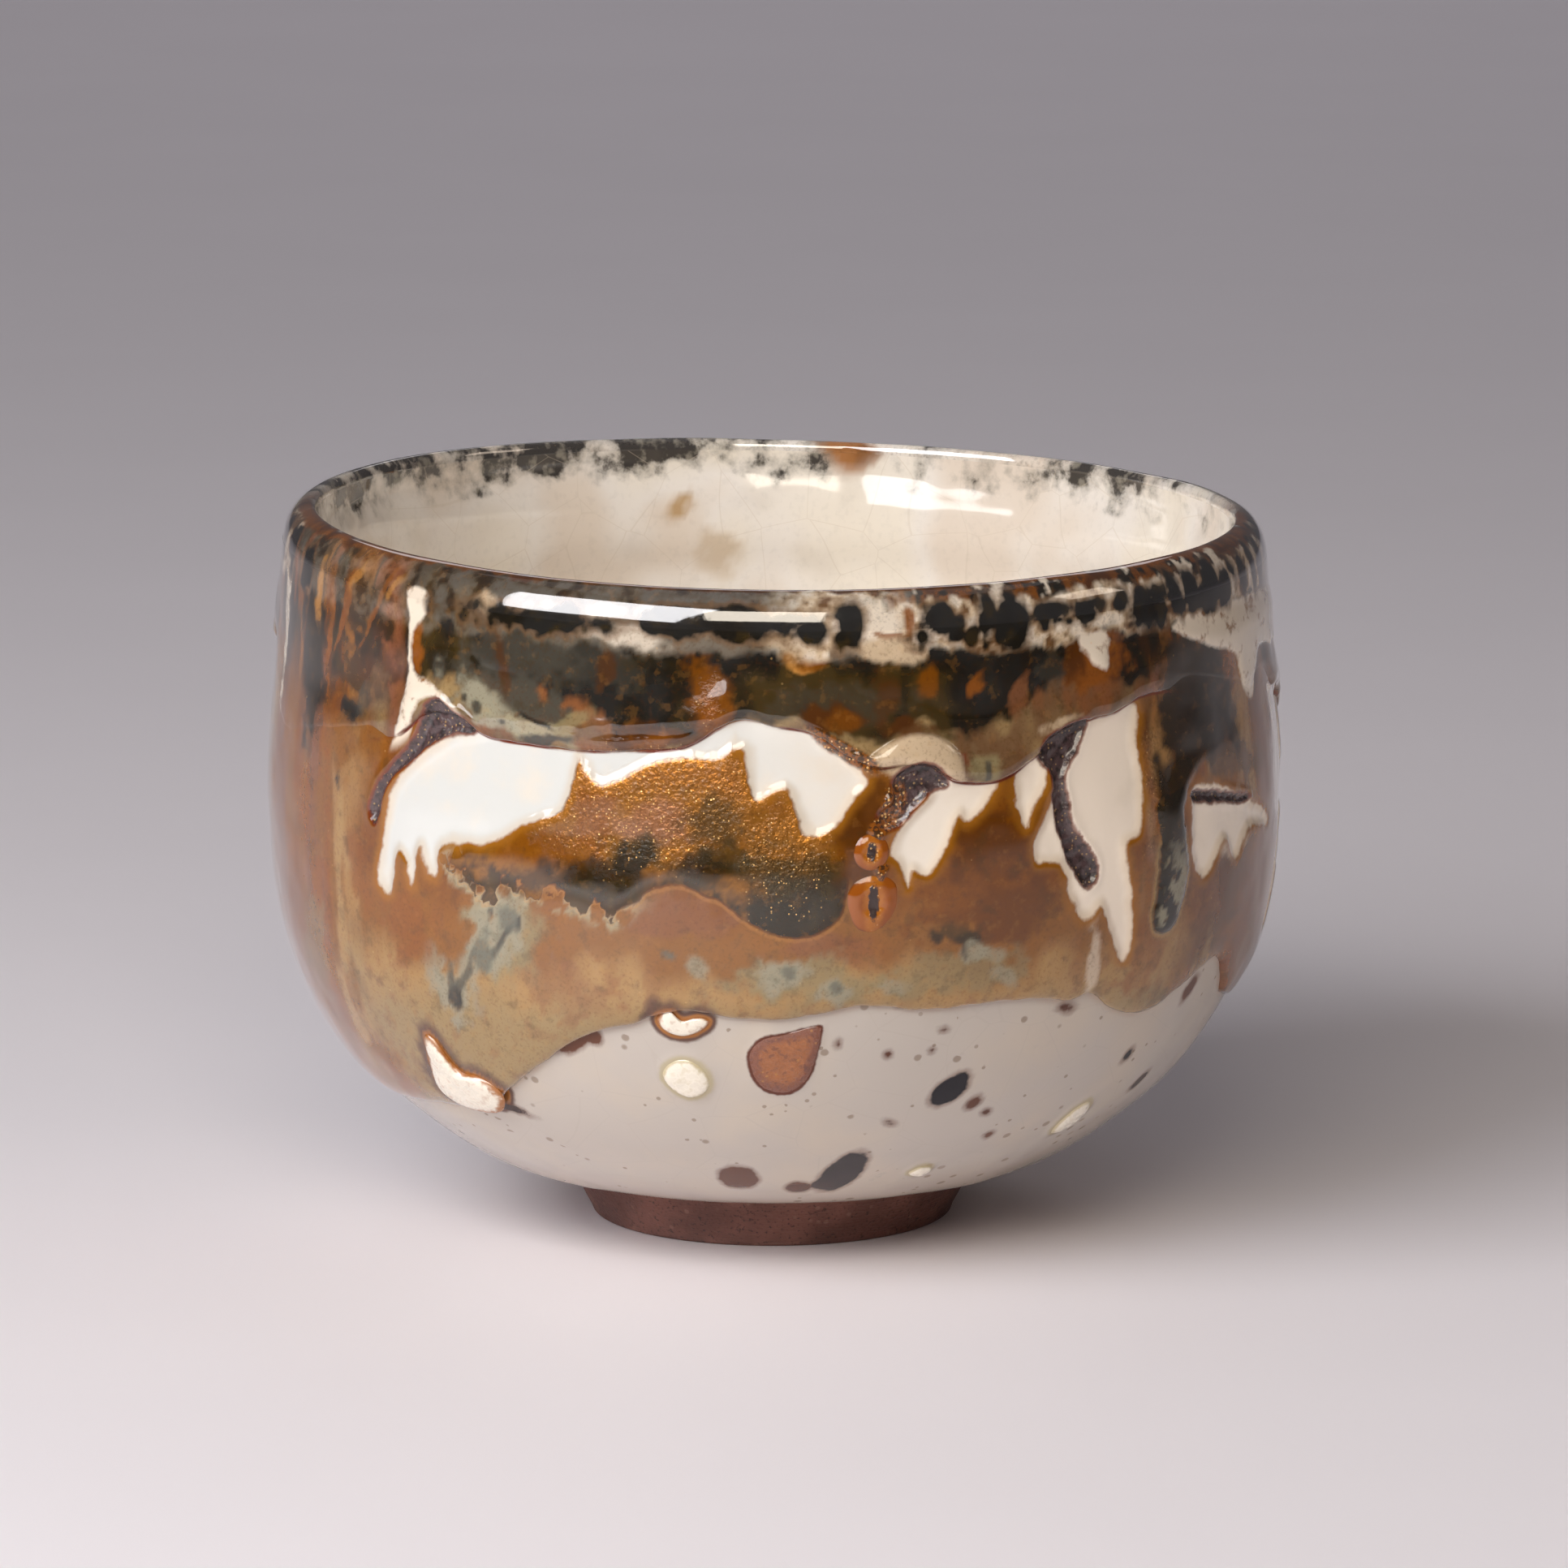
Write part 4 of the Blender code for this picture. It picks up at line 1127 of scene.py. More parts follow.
def lining_colours(turn, below, place):
    """The cream inside, with taupe clouds, taupe strokes on the inside left that are partly
    painted shade, and a few tan and amber places.
    """
    wide = place * np.array([0.8, 0.8, 1.2])
    blotch = layered_noise(wide, 4.2, 201)
    finer = layered_noise(place, 1.8, 202, 3)
    cloud = layered_noise(place, 12.0, 203)
    colours = ramp(cloud, LINING_STOPS)
    for colour, strength, stroke_turn, depth, half_width, half_length, lean in LINING_STROKES:
        across = turned(turn - stroke_turn) * LINING_ARC + 1.2 * finer
        up = depth - below + 1.2 * blotch
        reach = leaning_reach(across, up, half_width, half_length, lean)
        colours = blended(colours, strength * eased(-reach, -1.4, -0.6), colour)
    return colours


class Paint:
    """One material's nodes, joined by short calls. Sizes are in millimetres."""

    def __init__(self, name):
        self.material = bpy.data.materials.new(name)
        self.material.use_nodes = True
        self.tree = self.material.node_tree
        self.shader = self.tree.nodes["Principled BSDF"]
        self.place = self.node("ShaderNodeTexCoord").outputs["Object"]
        self.ragged = 0.0

    def node(self, kind, **settings):
        """A new node, with these settings."""
        made = self.tree.nodes.new(kind)
        for key, value in settings.items():
            setattr(made, key, value)
        return made

    def join(self, value, socket):
        """Links another node's output to the socket, or writes a plain value in it."""
        if isinstance(value, bpy.types.NodeSocket):
            self.tree.links.new(value, socket)
        else:
            socket.default_value = value

    def field(self, name):
        """A number that each point of the mesh carries."""
        return self.node("ShaderNodeAttribute", attribute_name=name).outputs["Fac"]

    def colour_field(self, name):
        """A colour that each point of the mesh carries."""
        return self.node("ShaderNodeAttribute", attribute_name=name).outputs["Color"]

    def math(self, operation, first, second=0.0):
        made = self.node("ShaderNodeMath", operation=operation)
        self.join(first, made.inputs[0])
        self.join(second, made.inputs[1])
        return made.outputs[0]

    def add(self, first, second):
        return self.math("ADD", first, second)

    def times(self, first, second):
        return self.math("MULTIPLY", first, second)

    def most(self, first, second):
        return self.math("MAXIMUM", first, second)

    def uneven(self, noise, size):
        """A noise that goes from 0 to 1, as an unevenness of this size round zero."""
        return self.times(self.add(noise, -0.5), size)

    def step(self, value, low, high):
        """0 at low and 1 at high, smooth between them."""
        made = self.node("ShaderNodeMapRange", interpolation_type="SMOOTHSTEP")
        self.join(value, made.inputs["Value"])
        made.inputs["From Min"].default_value = min(low, high)
        made.inputs["From Max"].default_value = max(low, high)
        made.inputs["To Min"].default_value = 0.0 if low < high else 1.0
        made.inputs["To Max"].default_value = 1.0 if low < high else 0.0
        return made.outputs["Result"]

    def band(self, value, rise, top, drop, end):
        """0 up to rise, 1 from top to drop, and 0 again from end."""
        return self.times(self.step(value, rise, top), self.step(value, end, drop))

    def within(self, name, low, high):
        """0 to 1 across a field's edge, which is a little ragged."""
        return self.step(self.add(self.field(name), self.ragged), low, high)

    def along(self, axis):
        """How far along an axis of the bowl the point lies, in metres."""
        split = self.node("ShaderNodeSeparateXYZ")
        self.join(self.place, split.inputs[0])
        return split.outputs[axis]

    def stretched(self, tall, shift):
        """The point's place, moved, and squeezed in height so that a noise comes out taller."""
        made = self.node("ShaderNodeMapping")
        self.join(self.place, made.inputs["Vector"])
        made.inputs["Scale"].default_value = (1, 1, 1 / tall)
        made.inputs["Location"].default_value = (shift, shift * 0.7, shift * 0.3)
        return made.outputs["Vector"]

    def noise(self, size, detail=3.0, tall=1.0, shift=0.0, rough=0.5):
        made = self.node("ShaderNodeTexNoise")
        self.join(self.stretched(tall, shift), made.inputs["Vector"])
        made.inputs["Scale"].default_value = 1 / (size * MM)
        made.inputs["Detail"].default_value = detail
        made.inputs["Roughness"].default_value = rough
        return made.outputs["Fac"]

    def cells(self, size, feature="F1", shift=0.0):
        made = self.node("ShaderNodeTexVoronoi", feature=feature)
        self.join(self.stretched(1.0, shift), made.inputs["Vector"])
        made.inputs["Scale"].default_value = 1 / (size * MM)
        return made

    def crackle(self, size, outer, inner):
        """Fine lines round cells of this size: 1 along them, 0 elsewhere."""
        edges = self.cells(size, "DISTANCE_TO_EDGE", 0.3).outputs["Distance"]
        return self.step(edges, outer, inner)

    def flecks(self, size, share, shift=0.0):
        """Round specks: 1 on about this share of the cells, 0 elsewhere."""
        made = self.cells(size, shift=shift)
        split = self.node("ShaderNodeSeparateColor")
        self.join(made.outputs["Color"], split.inputs[0])
        chosen = self.step(split.outputs[0], 1 - share, 1 - share + 0.01)
        return self.times(chosen, self.step(made.outputs["Distance"], 0.42, 0.25))

    def mix(self, below, above, *masks):
        """One colour laid over another, as strongly as the masks' product says."""
        made = self.node("ShaderNodeMix", data_type="RGBA")
        self.join(functools.reduce(self.times, masks), made.inputs["Factor"])
        self.join(below, made.inputs[6])
        self.join(above, made.inputs[7])
        return made.outputs[2]

    def blend(self, low, high, mask):
        """A number that goes from low to high with mask."""
        made = self.node("ShaderNodeMix", data_type="FLOAT")
        self.join(mask, made.inputs["Factor"])
        self.join(low, made.inputs[2])
        self.join(high, made.inputs[3])
        return made.outputs[0]

    def bump(self, height, distance, strength=1.0, normal=None):
        """The normal of a surface that the height raises by up to a distance."""
        made = self.node("ShaderNodeBump")
        made.inputs["Strength"].default_value = strength
        made.inputs["Distance"].default_value = distance * MM
        self.join(height, made.inputs["Height"])
        if normal is not None:
            self.join(normal, made.inputs["Normal"])
        return made.outputs["Normal"]

    def mottled(self, colour):
        """The lining's dark mottles, where the mottle field says so."""
        mottle = self.times(self.field("mottle"), 0.23)
        value = self.add(self.noise(4.6, 5, rough=0.56, shift=0.35), mottle)
        patchy = self.step(self.noise(1.8, 3, shift=0.15), 0.5, 0.66)
        present = self.step(mottle, 0.01, 0.05)
        colour = self.mix(colour, LINING_GREY, self.step(value, 0.56, 0.72), present, 0.5)
        shade = self.mix(LINING_DARK, LINING_GREY, patchy)
        return self.mix(colour, shade, self.step(value, 0.67, 0.77), present)

    def finish(
        self,
        colour,
        roughness,
        normal=None,
        metallic=0.0,
        coat=0.0,
        coat_roughness=0.03,
        specular=0.5,
    ):
        """Joins these to the shader, and gives the material."""
        self.join(colour, self.shader.inputs["Base Color"])
        self.join(roughness, self.shader.inputs["Roughness"])
        self.join(metallic, self.shader.inputs["Metallic"])
        if normal is not None:
            self.join(normal, self.shader.inputs["Normal"])
        self.shader.inputs["Specular IOR Level"].default_value = specular
        self.shader.inputs["Coat Weight"].default_value = coat
        self.shader.inputs["Coat Roughness"].default_value = coat_roughness
        return self.material


class OuterPaint(Paint):
    """A poured coat's nodes, with the noises and edges that its features share."""

    def __init__(self, name):
        super().__init__(name)
        self.fine = self.noise(0.9, 4)
        self.broad = self.noise(7.0, 4)
        self.mottle = self.noise(2.2, 5, rough=0.6, shift=0.1)
        self.grain = self.noise(0.4, 3, shift=0.5)
        self.ragged = self.uneven(self.fine, 0.5)
        self.above_edge = self.field("above_edge")
        self.below_edge = self.step(self.above_edge, 0.1, -0.1)
        self.window = self.times(self.within("window", -0.26, 0.26), self.below_edge)
        self.no_window = self.math("SUBTRACT", 1.0, self.window)
        self.crack = self.within("crack", -0.15, 0.15)
        self.grit = self.within("grit", -0.4, 0.1)
        shimmer = self.add(self.field("shimmer"), self.uneven(self.mottle, 6.0))
        self.shimmer = self.times(self.step(shimmer, -0.5, 2.5), self.no_window)

    def coats(self):
        """The painted colours, with the tongue and the run over them, unevenly dark, and a painted
        highlight as a pale line under their lower edges.
        """
        over = self.add(self.field("over"), self.times(self.ragged, 0.6))
        low = self.step(self.field("height"), 52.0, 49.5)
        # Painted highlight: a thin pale line just below the raised lower edge of the tongue and
        # the run.
        painted_highlight_line = self.band(over, -0.8, -0.5, -0.35, -0.15)
        dark_line = self.band(over, -0.25, -0.1, 0.05, 0.2)
        pale_clouds = self.step(self.noise(1.3, 4, shift=0.9), 0.55, 0.7)
        colour = self.mix(self.colour_field("paint"), PALE_AMBER, painted_highlight_line, low, 0.3)
        colour = self.mix(colour, self.colour_field("over_paint"), self.step(over, -0.1, 0.1))
        colour = self.mix(colour, DEEP_AMBER, dark_line, low, 0.6)
        colour = self.mix(colour, OLIVE, self.step(self.mottle, 0.52, 0.68), 0.3)
        colour = self.mix(colour, PALE_AMBER, pale_clouds, 0.1)
        return self.mix(colour, DEEP_AMBER, self.step(self.grain, 0.5, 0.72), 0.25)

    def with_windows(self, colour):
        """The white windows in honey rims, cool on the left and warm on the right, where they are
        painted brighter as painted light for the weaker light there.
        """
        rim = self.within("window", -1.6, -0.1)
        colour = self.mix(colour, HONEY, rim, self.below_edge, 0.7)
        # Painted light: the windows' white brightens and warms towards the right, where less light
        # falls.
        painted_light_to_right = self.step(self.along("X"), -0.015, 0.035)
        white = self.mix(WINDOW, RIGHT_WINDOW_PAINTED_LIGHT, painted_light_to_right)
        white = self.mix(white, PALE_CREAM, self.step(self.broad, 0.5, 0.75), 0.5)
        white = self.mix(white, CREAM, self.step(self.field("window"), 1.4, 0.1), 0.45)
        return self.mix(colour, white, self.window)

    def with_rim_marks(self, colour):
        """The creams that run down from the rim, and the dark spots on its pale band."""
        creams = self.mix(PALE_CREAM, PINK_TAN, self.step(self.mottle, 0.52, 0.72))
        cream = self.within("cream", -0.3, 0.35)
        colour = self.mix(colour, creams, cream, self.step(self.above_edge, -2.0, 0.0))
        at_rim = self.step(self.field("height"), 75.5, 76.5)
        colour = self.mix(colour, FRINGE, self.within("rim_dark", -0.9, -0.2), at_rim, 0.55)
        black = self.mix(BLACK, SLATE_BLACK, self.step(self.broad, 0.4, 0.6))
        black = self.mix(black, OLIVE, self.step(self.mottle, 0.5, 0.7), 0.6)
        return self.mix(colour, black, self.within("rim_dark", -0.35, 0.35), at_rim)

    def with_cracks(self, colour):
        """The black coat's red-brown edge line, the dark cracks and the gritty places."""
        edge = self.band(self.above_edge, -0.3, -0.05, 0.1, 0.35)
        broken = self.step(self.broad, 0.35, 0.55)
        colour = self.mix(colour, RED_BROWN, edge, self.field("edge_line"), broken)
        colour = self.mix(colour, RED_BROWN, self.within("crack", -0.5, -0.1), 0.85)
        dark = self.mix(CRACK, DEEP_CRACK, self.step(self.fine, 0.45, 0.65))
        colour = self.mix(colour, dark, self.crack)
        gritty = self.mix(ORANGE, GRIT_DARK, self.step(self.grain, 0.46, 0.56))
        return self.mix(colour, gritty, self.grit, 0.9)

    def with_sparks(self, colour):
        """Gold glitter where the copper shimmers, in the grit, and thinly elsewhere."""
        glitter = self.times(self.flecks(0.28, 0.1), self.shimmer)
        gritty_places = self.most(self.times(self.crack, 0.4), self.grit)
        sparks = self.times(self.flecks(0.4, 0.25, shift=0.2), gritty_places)
        sparse = self.times(self.flecks(0.4, 0.004, shift=0.4), self.no_window)
        return self.mix(colour, GOLD, self.most(glitter, self.most(sparks, sparse)), 0.85)

    def waviness(self):
        """The normal of a wavy glaze, crinkled where it shimmers and where it cracked."""
        normal = self.bump(self.noise(3.6, 2, shift=0.6), 0.08, 0.5)
        crinkled = self.most(self.shimmer, self.crack)
        normal = self.bump(self.times(self.noise(0.5, 3, shift=0.7), crinkled), 0.2, 1.0, normal)
        return self.bump(self.noise(0.9, 1, shift=0.8), 0.015, 0.4, normal)


def outer_glaze(name, is_lip=False):
    """The poured coats. The lip's has the lining's mottles too, and shines more."""
    p = OuterPaint(name)
    colour = p.with_rim_marks(p.with_windows(p.coats()))
    if is_lip:
        colour = p.mottled(colour)
        p.shader.inputs["Coat IOR"].default_value = 1.8
    colour = p.with_sparks(p.with_cracks(colour))
    metallic = p.times(p.shimmer, p.blend(0.05, 0.5, p.step(p.grain, 0.4, 0.6)))
    rough = p.blend(0.05, 0.09, p.step(p.grain, 0.4, 0.7))
    rough = p.blend(rough, 0.26, p.shimmer)
    rough = p.blend(rough, 0.42, p.times(p.crack, 0.9))
    specular = 0.6 if is_lip else 0.2
    return p.finish(colour, rough, p.waviness(), metallic, coat=1.0, specular=specular)


# ---------------------------------------------------------------- the white ground and its stones
WHITE = srgb(192, 183, 174)
WARM_WHITE = srgb(198, 186, 172)
PALE_HALO = srgb(176, 162, 126)
HALO = srgb(88, 56, 44)
STONE_EDGE = srgb(160, 100, 44)
RUST = srgb(156, 94, 50)
RUST_BROWN = srgb(124, 72, 50)
RUST_DARK = srgb(92, 46, 30)
SPOT_SLATE = srgb(28, 26, 32)
SPOT_BROWN = srgb(100, 60, 42)
HALO_GLOW = srgb(170, 110, 50)
FOOT_WHITE = srgb(180, 165, 154)
COAT_SHADE = srgb(188, 162, 142)
CRACKLE_GREY = srgb(186, 176, 166)
SPECK_BROWN = srgb(140, 122, 106)
ASH = srgb(160, 156, 152)
STONE_WHITE = srgb(238, 230, 214)
PALE_EDGE = srgb(196, 182, 146)

LONG_STONE = [
    (-45.5, 29.6), (-44.2, 29), (-43, 26.8), (-41.5, 25.4), (-38.6, 25.2), (-36.5, 24),
    (-36.2, 22.5), (-38, 20.8), (-41.5, 20.4), (-45, 20.8), (-47.6, 22.4), (-47.3, 24.6),
    (-46.6, 26.8), (-46.3, 28.6),
]
HEART_STONE = [
    (-13.4, 34.4), (-12.6, 35.6), (-11.6, 35.7), (-10.4, 34.5), (-8.6, 35), (-7.2, 34.6),
    (-8, 33.4), (-10.2, 32.5), (-12.4, 33),
]
ROUND_STONE = [
    (-13.4, 27.4), (-12.4, 29), (-10.4, 29.6), (-8.4, 28.6), (-7.5, 26.8), (-8.4, 25.2),
    (-10.4, 24.6), (-12.4, 25.6),
]
RUST_SPOT = [
    (-2.9, 29.4), (-2.5, 31.2), (-1, 32.5), (1.5, 33), (4.9, 33.9), (5.5, 33.3), (5, 29.8),
    (4, 26.8), (1.4, 25.2), (-1.8, 26.4),
]
RIGHT_STONE = [
    (44.4, 17), (44.8, 18.6), (46, 19.8), (47.6, 20.2), (48.8, 19.2), (48.6, 17.6),
    (47.2, 16.4), (45.4, 16),
]
LOW_STONE = [(22.2, 12.8), (23.6, 13.7), (25.6, 13.6), (26, 12.9), (24.4, 12.3)]
# Flat spots in the glaze: turn, height, half width, half length, lean, and how far the colour
# is from brown (0) to slate (1).
SPOTS = [
    (22.6, 24.7, 1.8, 2.7, 40, 1.0), (26.7, 22.6, 0.8, 1.0, 30, 0.1),
    (29.3, 21.1, 0.6, 0.5, 30, 0.2), (32, 17.5, 0.5, 0.6, 0, 0.0),
    (15.5, 20.8, 0.6, 0.4, 40, 0.6), (14.3, 36.5, 0.6, 0.6, 0, 1.0), (20, 32.6, 0.4, 0.3, 0, 0.3),
    (7.5, 31.6, 0.3, 0.4, 0, 0.3), (13.6, 29.9, 0.4, 0.4, 0, 0.2), (19, 30.1, 0.3, 0.3, 0, 0.3),
    (-24.4, 30.7, 1.2, 2.6, 62, 0.0), (-21.4, 31.6, 0.9, 1.0, 0, 0.0),
    (-5.3, 12.8, 2.3, 3.0, 0, 0.1), (4.5, 11.2, 1.5, 1.6, 0, 0.2), (11, 13.4, 2.3, 5.2, 14, 0.95),
    (9.2, 11.6, 1.8, 1.6, 0, 0.8), (50.5, 25.6, 0.6, 0.9, 20, 1.0),
    (58.5, 20.8, 0.9, 1.5, 30, 0.7), (58.7, 32.4, 1.0, 1.7, 30, 0.0),
    (36, 33.7, 1.1, 0.6, 10, 0.2), (-37, 20.6, 2.2, 0.7, 20, 0.7), (88, 22, 1.5, 1.2, 20, 0.6),
    (104, 18, 1.0, 0.8, 0, 0.2), (126, 20, 1.3, 1.6, -30, 0.9), (138, 13, 1.7, 1.1, 0, 0.1),
    (160, 17, 0.8, 0.7, 0, 0.9), (-170, 20, 1.8, 1.1, 15, 0.0), (-150, 24, 1.0, 1.2, 0, 0.8),
    (-134, 14, 1.5, 1.2, 10, 0.3), (-112, 21, 1.2, 0.8, -20, 0.9), (-90, 14, 1.4, 1.0, 0, 0.1),
    (-70, 12, 0.9, 0.7, 0, 0.7),
]
def spot_fields(turn, length, place):
    """How far inside a flat spot each point is, and how slaty that spot is."""
    inside = np.full(turn.shape, -FAR)
    slaty = np.zeros(turn.shape)
    ragged = 0.18 * layered_noise(place, 1.2, 71)
    radius = GROUND.at(length, 0.0)[0]
    for spot_turn, height, half_width, half_length, lean, slate in SPOTS:
        across = turned(turn - spot_turn) * np.radians(1) * radius
        up = length - GROUND.length_at(height)
        reach = leaning_reach(across, up, half_width, half_length, lean)
        distance = (1 - reach) * min(half_width, half_length) + ragged
        slaty = np.where(distance > inside, slate, slaty)
        inside = np.maximum(inside, distance)
    return inside, slaty


def make_ground_glaze():
    """The white glaze from the foot up to where the coats hide it."""
    rows = 92
    bottom = 1.5 + 0.25 * layered_noise(edge_places(np.full(COLUMNS, 2.0)), 7.0, 72)
    top = GROUND.length_at(looped_edge(AMBER_EDGE, COLUMN_TURNS)) + 3.0
    lengths = spaced(bottom, top, rows)
    turns = turns_round(rows)
    place = on_wall(GROUND, lengths, 0.0, turns)
    bent = lengths + 0.12 * layered_noise(place, 1.4, 73)
    dark_edged = at_places([LONG_STONE, HEART_STONE], (FRONT,))
    pale_edged = at_places([ROUND_STONE, RIGHT_STONE, LOW_STONE], (FRONT,))
    stone = inside_any(turns, bent, dark_edged)
    pale_stone = inside_any(turns, bent, pale_edged)
    rust = inside_by(turns, bent, RUST_SPOT)
    spot, slaty = spot_fields(turns, lengths, place)
    from_edge = lengths - lengths[0]
    out = 0.10 * noise(place, 10.0, 74) + 0.03 * noise(place, 3.0, 75)
    out = out + 0.25 * np.exp(-((from_edge - 1.0) / 0.9) ** 2)
    out = out + 0.22 * eased(np.maximum(stone, pale_stone), -1.4, 0.2)
    out = out + 0.12 * eased(rust, -0.8, 0.3)
    out = out - 0.5 + 0.5 * rolled(from_edge, 0.9)
    fields = {
        "stone": stone,
        "pale_stone": pale_stone,
        "rust": rust,
        "spot": spot,
        "slaty": slaty,
        "below_coat": GROUND.length_at(looped_edge(AMBER_EDGE, COLUMN_TURNS)) - lengths,
        "height": GROUND.height_at(lengths),
    }
    return closed_shell("ground_glaze_coat", lengths, out, -0.6, fields)


def ground_glaze_paint():
    """Warm white with fine crackle, small specks, and brown halos round the stones."""
    p = Paint("white_ground_glaze")
    broad = p.noise(14.0, 3)
    fine = p.noise(0.9, 4)
    cloud = p.noise(3.0, 4, shift=0.2)
    p.ragged = p.uneven(fine, 0.4)
    colour = p.mix(WHITE, WARM_WHITE, p.step(broad, 0.4, 0.65))
    colour = p.mix(colour, FOOT_WHITE, p.step(p.field("height"), 14.0, 7.0), 0.6)
    under_coat = p.step(p.add(p.field("below_coat"), p.times(cloud, 1.5)), 1.6, 0.2)
    colour = p.mix(colour, COAT_SHADE, under_coat, 0.7)
    colour = p.mix(colour, CRACKLE_GREY, p.crackle(8.0, 0.012, 0.004), 0.35)
    tiny = p.most(p.flecks(1.5, 0.05, 0.6), p.flecks(0.8, 0.03, 0.3))
    colour = p.mix(colour, SPECK_BROWN, tiny, 0.75)
    colour = p.mix(colour, ASH, p.step(cloud, 0.6, 0.75), p.step(broad, 0.55, 0.7), 0.6)
    colour = p.mix(colour, PALE_HALO, p.within("pale_stone", -0.9, -0.1), 0.75)
    colour = p.mix(colour, HALO, p.within("stone", -1.15, -0.55), 0.95)
    colour = p.mix(colour, HALO_GLOW, p.step(p.field("stone"), -0.5, -0.15), 0.8)
    colour = p.mix(colour, RUST_DARK, p.within("rust", -0.35, 0.0))
    colour = p.mix(colour, SPOT_BROWN, p.within("spot", -0.7, 0.0), 0.5)
    spot_colour = p.mix(SPOT_BROWN, SPOT_SLATE, p.field("slaty"))
    colour = p.mix(colour, spot_colour, p.within("spot", -0.15, 0.2))
    normal = p.bump(p.noise(4.4, 1, shift=0.6), 0.08, 0.5)
    return p.finish(colour, 0.25, normal, coat=0.5, coat_roughness=0.05, specular=0.1)


# ---------------------------------------------------------------- stones and beads
UPPER_BEAD = [
    (8.3, 54.4), (9, 56), (10.4, 56.6), (11.9, 56), (12.4, 54.4), (11.8, 52.8), (10.2, 52.2),
    (8.8, 52.9),
]
LOWER_BEAD = [
    (7.5, 49), (8.2, 50.8), (10, 51.8), (12.2, 51.8), (13.4, 50.4), (13.3, 47.8), (12, 45.8),
    (10.2, 45), (8.4, 46),
]
BEAD_RING = srgb(146, 76, 10)
BEAD_DARK = srgb(92, 44, 12)
BEAD_PALE = srgb(176, 106, 28)
BEAD_CORE = srgb(52, 34, 30)

# How far above the ground face a stone's or a bead's foot is, in millimetres.
STONE_FOOT = 0.1
LONG_STONE_FOOT = COAT
BEAD_FOOT = COAT - 0.1
BEAD_HEIGHT = 0.55
MIDDLE = 0.002  # a lump's first ring, as a share of its outline

# Each stone's outline, its foot and its height in millimetres, and the colour of its rim.
STONES = {
    "long_stone": (LONG_STONE, LONG_STONE_FOOT, 0.75, STONE_EDGE),
    "heart_stone": (HEART_STONE, STONE_FOOT, 0.6, STONE_EDGE),
    "round_stone": (ROUND_STONE, STONE_FOOT, 0.6, PALE_EDGE),
    "rust_stone": (RUST_SPOT, STONE_FOOT, 0.3, None),
    "right_stone": (RIGHT_STONE, STONE_FOOT, 0.5, PALE_EDGE),
    "low_stone": (LOW_STONE, STONE_FOOT, 0.5, PALE_EDGE),
}
# Each bead's outline, and its gritty core's half width and half length in millimetres.
BEADS = {"upper_rust_bead": (UPPER_BEAD, 0.55, 1.0), "lower_rust_bead": (LOWER_BEAD, 0.6, 2.2)}


def make_lump(name, outline, foot, height, shape, core=(1.0, 1.0), spokes=64, rings=18):
    """A closed lens on the wall: its outline, domed by shape(share) times height."""
    points = np.array(outline, float)
    middle_turn = points[:, 0].mean()
    middle_length = float(GROUND.length_at(points[:, 1]).mean())
    per_degree = math.radians(float(GROUND.at(middle_length, 0.0)[0]))
    across = (points[:, 0] - middle_turn) * per_degree
    along = GROUND.length_at(points[:, 1]) - middle_length
    line = rounded(np.column_stack([across, along]))
    angles = np.linspace(0, 2 * math.pi, spokes, endpoint=False)
    reach = outline_reach(line, angles)
    shares = np.sin(np.linspace(0.06, 1, rings) * math.pi / 2)
    shares = np.concatenate([[MIDDLE], shares])[:, None]
    u = shares * reach * np.cos(angles)
    v = shares * reach * np.sin(angles)
    turns = middle_turn + u / per_degree
    lengths = middle_length + v
    bumps = layered_noise(on_wall(GROUND, lengths, 0.0, turns), 1.3, 81)
    top_out = foot + height * shape(shares) + 0.08 * bumps * (1 - shares**4)
    top = on_wall(GROUND, lengths, top_out, turns)
    bottom = on_wall(GROUND, lengths, foot - 0.15 * (1 - shares), turns)[::-1][1:]
    share = np.broadcast_to(shares, u.shape)
    inside_core = 1 - leaning_reach(u, v, *core, 0)
    fields = {
        "share": np.concatenate([share, share[::-1][1:]]),
        "core": np.concatenate([inside_core, inside_core[::-1][1:]]),
    }
    lump = make_mesh(name, np.concatenate([top, bottom]), fields, closed_loop=False)
    close_ends(lump, spokes)
    return lump


def outline_reach(line, angles):
    """How far the outline is from its middle at each angle."""
    reach = np.zeros(len(angles))
    for k, angle in enumerate(angles):
        direction = np.array([math.cos(angle), math.sin(angle)])
        for a, b in zip(line, np.roll(line, -1, axis=0)):
            step = b - a
            cross = direction[0] * step[1] - direction[1] * step[0]
            if abs(cross) < 1e-9:
                continue
            share = (a[0] * direction[1] - a[1] * direction[0]) / cross
            distance = (a[0] * step[1] - a[1] * step[0]) / cross
            if 0 <= share <= 1:
                reach[k] = max(reach[k], distance)
    return reach


def close_ends(lump, spokes):
    """Fills the two tiny open rings at the middles of a lump."""
    mesh = lump.data
    builder = bmesh.new()
    builder.from_mesh(mesh)
    open_edges = [edge for edge in builder.edges if edge.is_boundary]
    bmesh.ops.holes_fill(builder, edges=open_edges, sides=spokes + 1)
    bmesh.ops.recalc_face_normals(builder, faces=builder.faces)
    builder.to_mesh(mesh)
    builder.free()
    mesh.shade_smooth()


def pebble(shares):
    """A steep-sided lump with a flat top."""
    return np.clip(1 - shares**4, 0, 1) ** 0.6


def crater_ring(shares):
    """A bead whose middle has sunk in a little."""
    ridge = np.clip(1 - shares**3, 0, 1)
    return ridge * (0.6 + 0.4 * eased(shares, 0.2, 0.6))


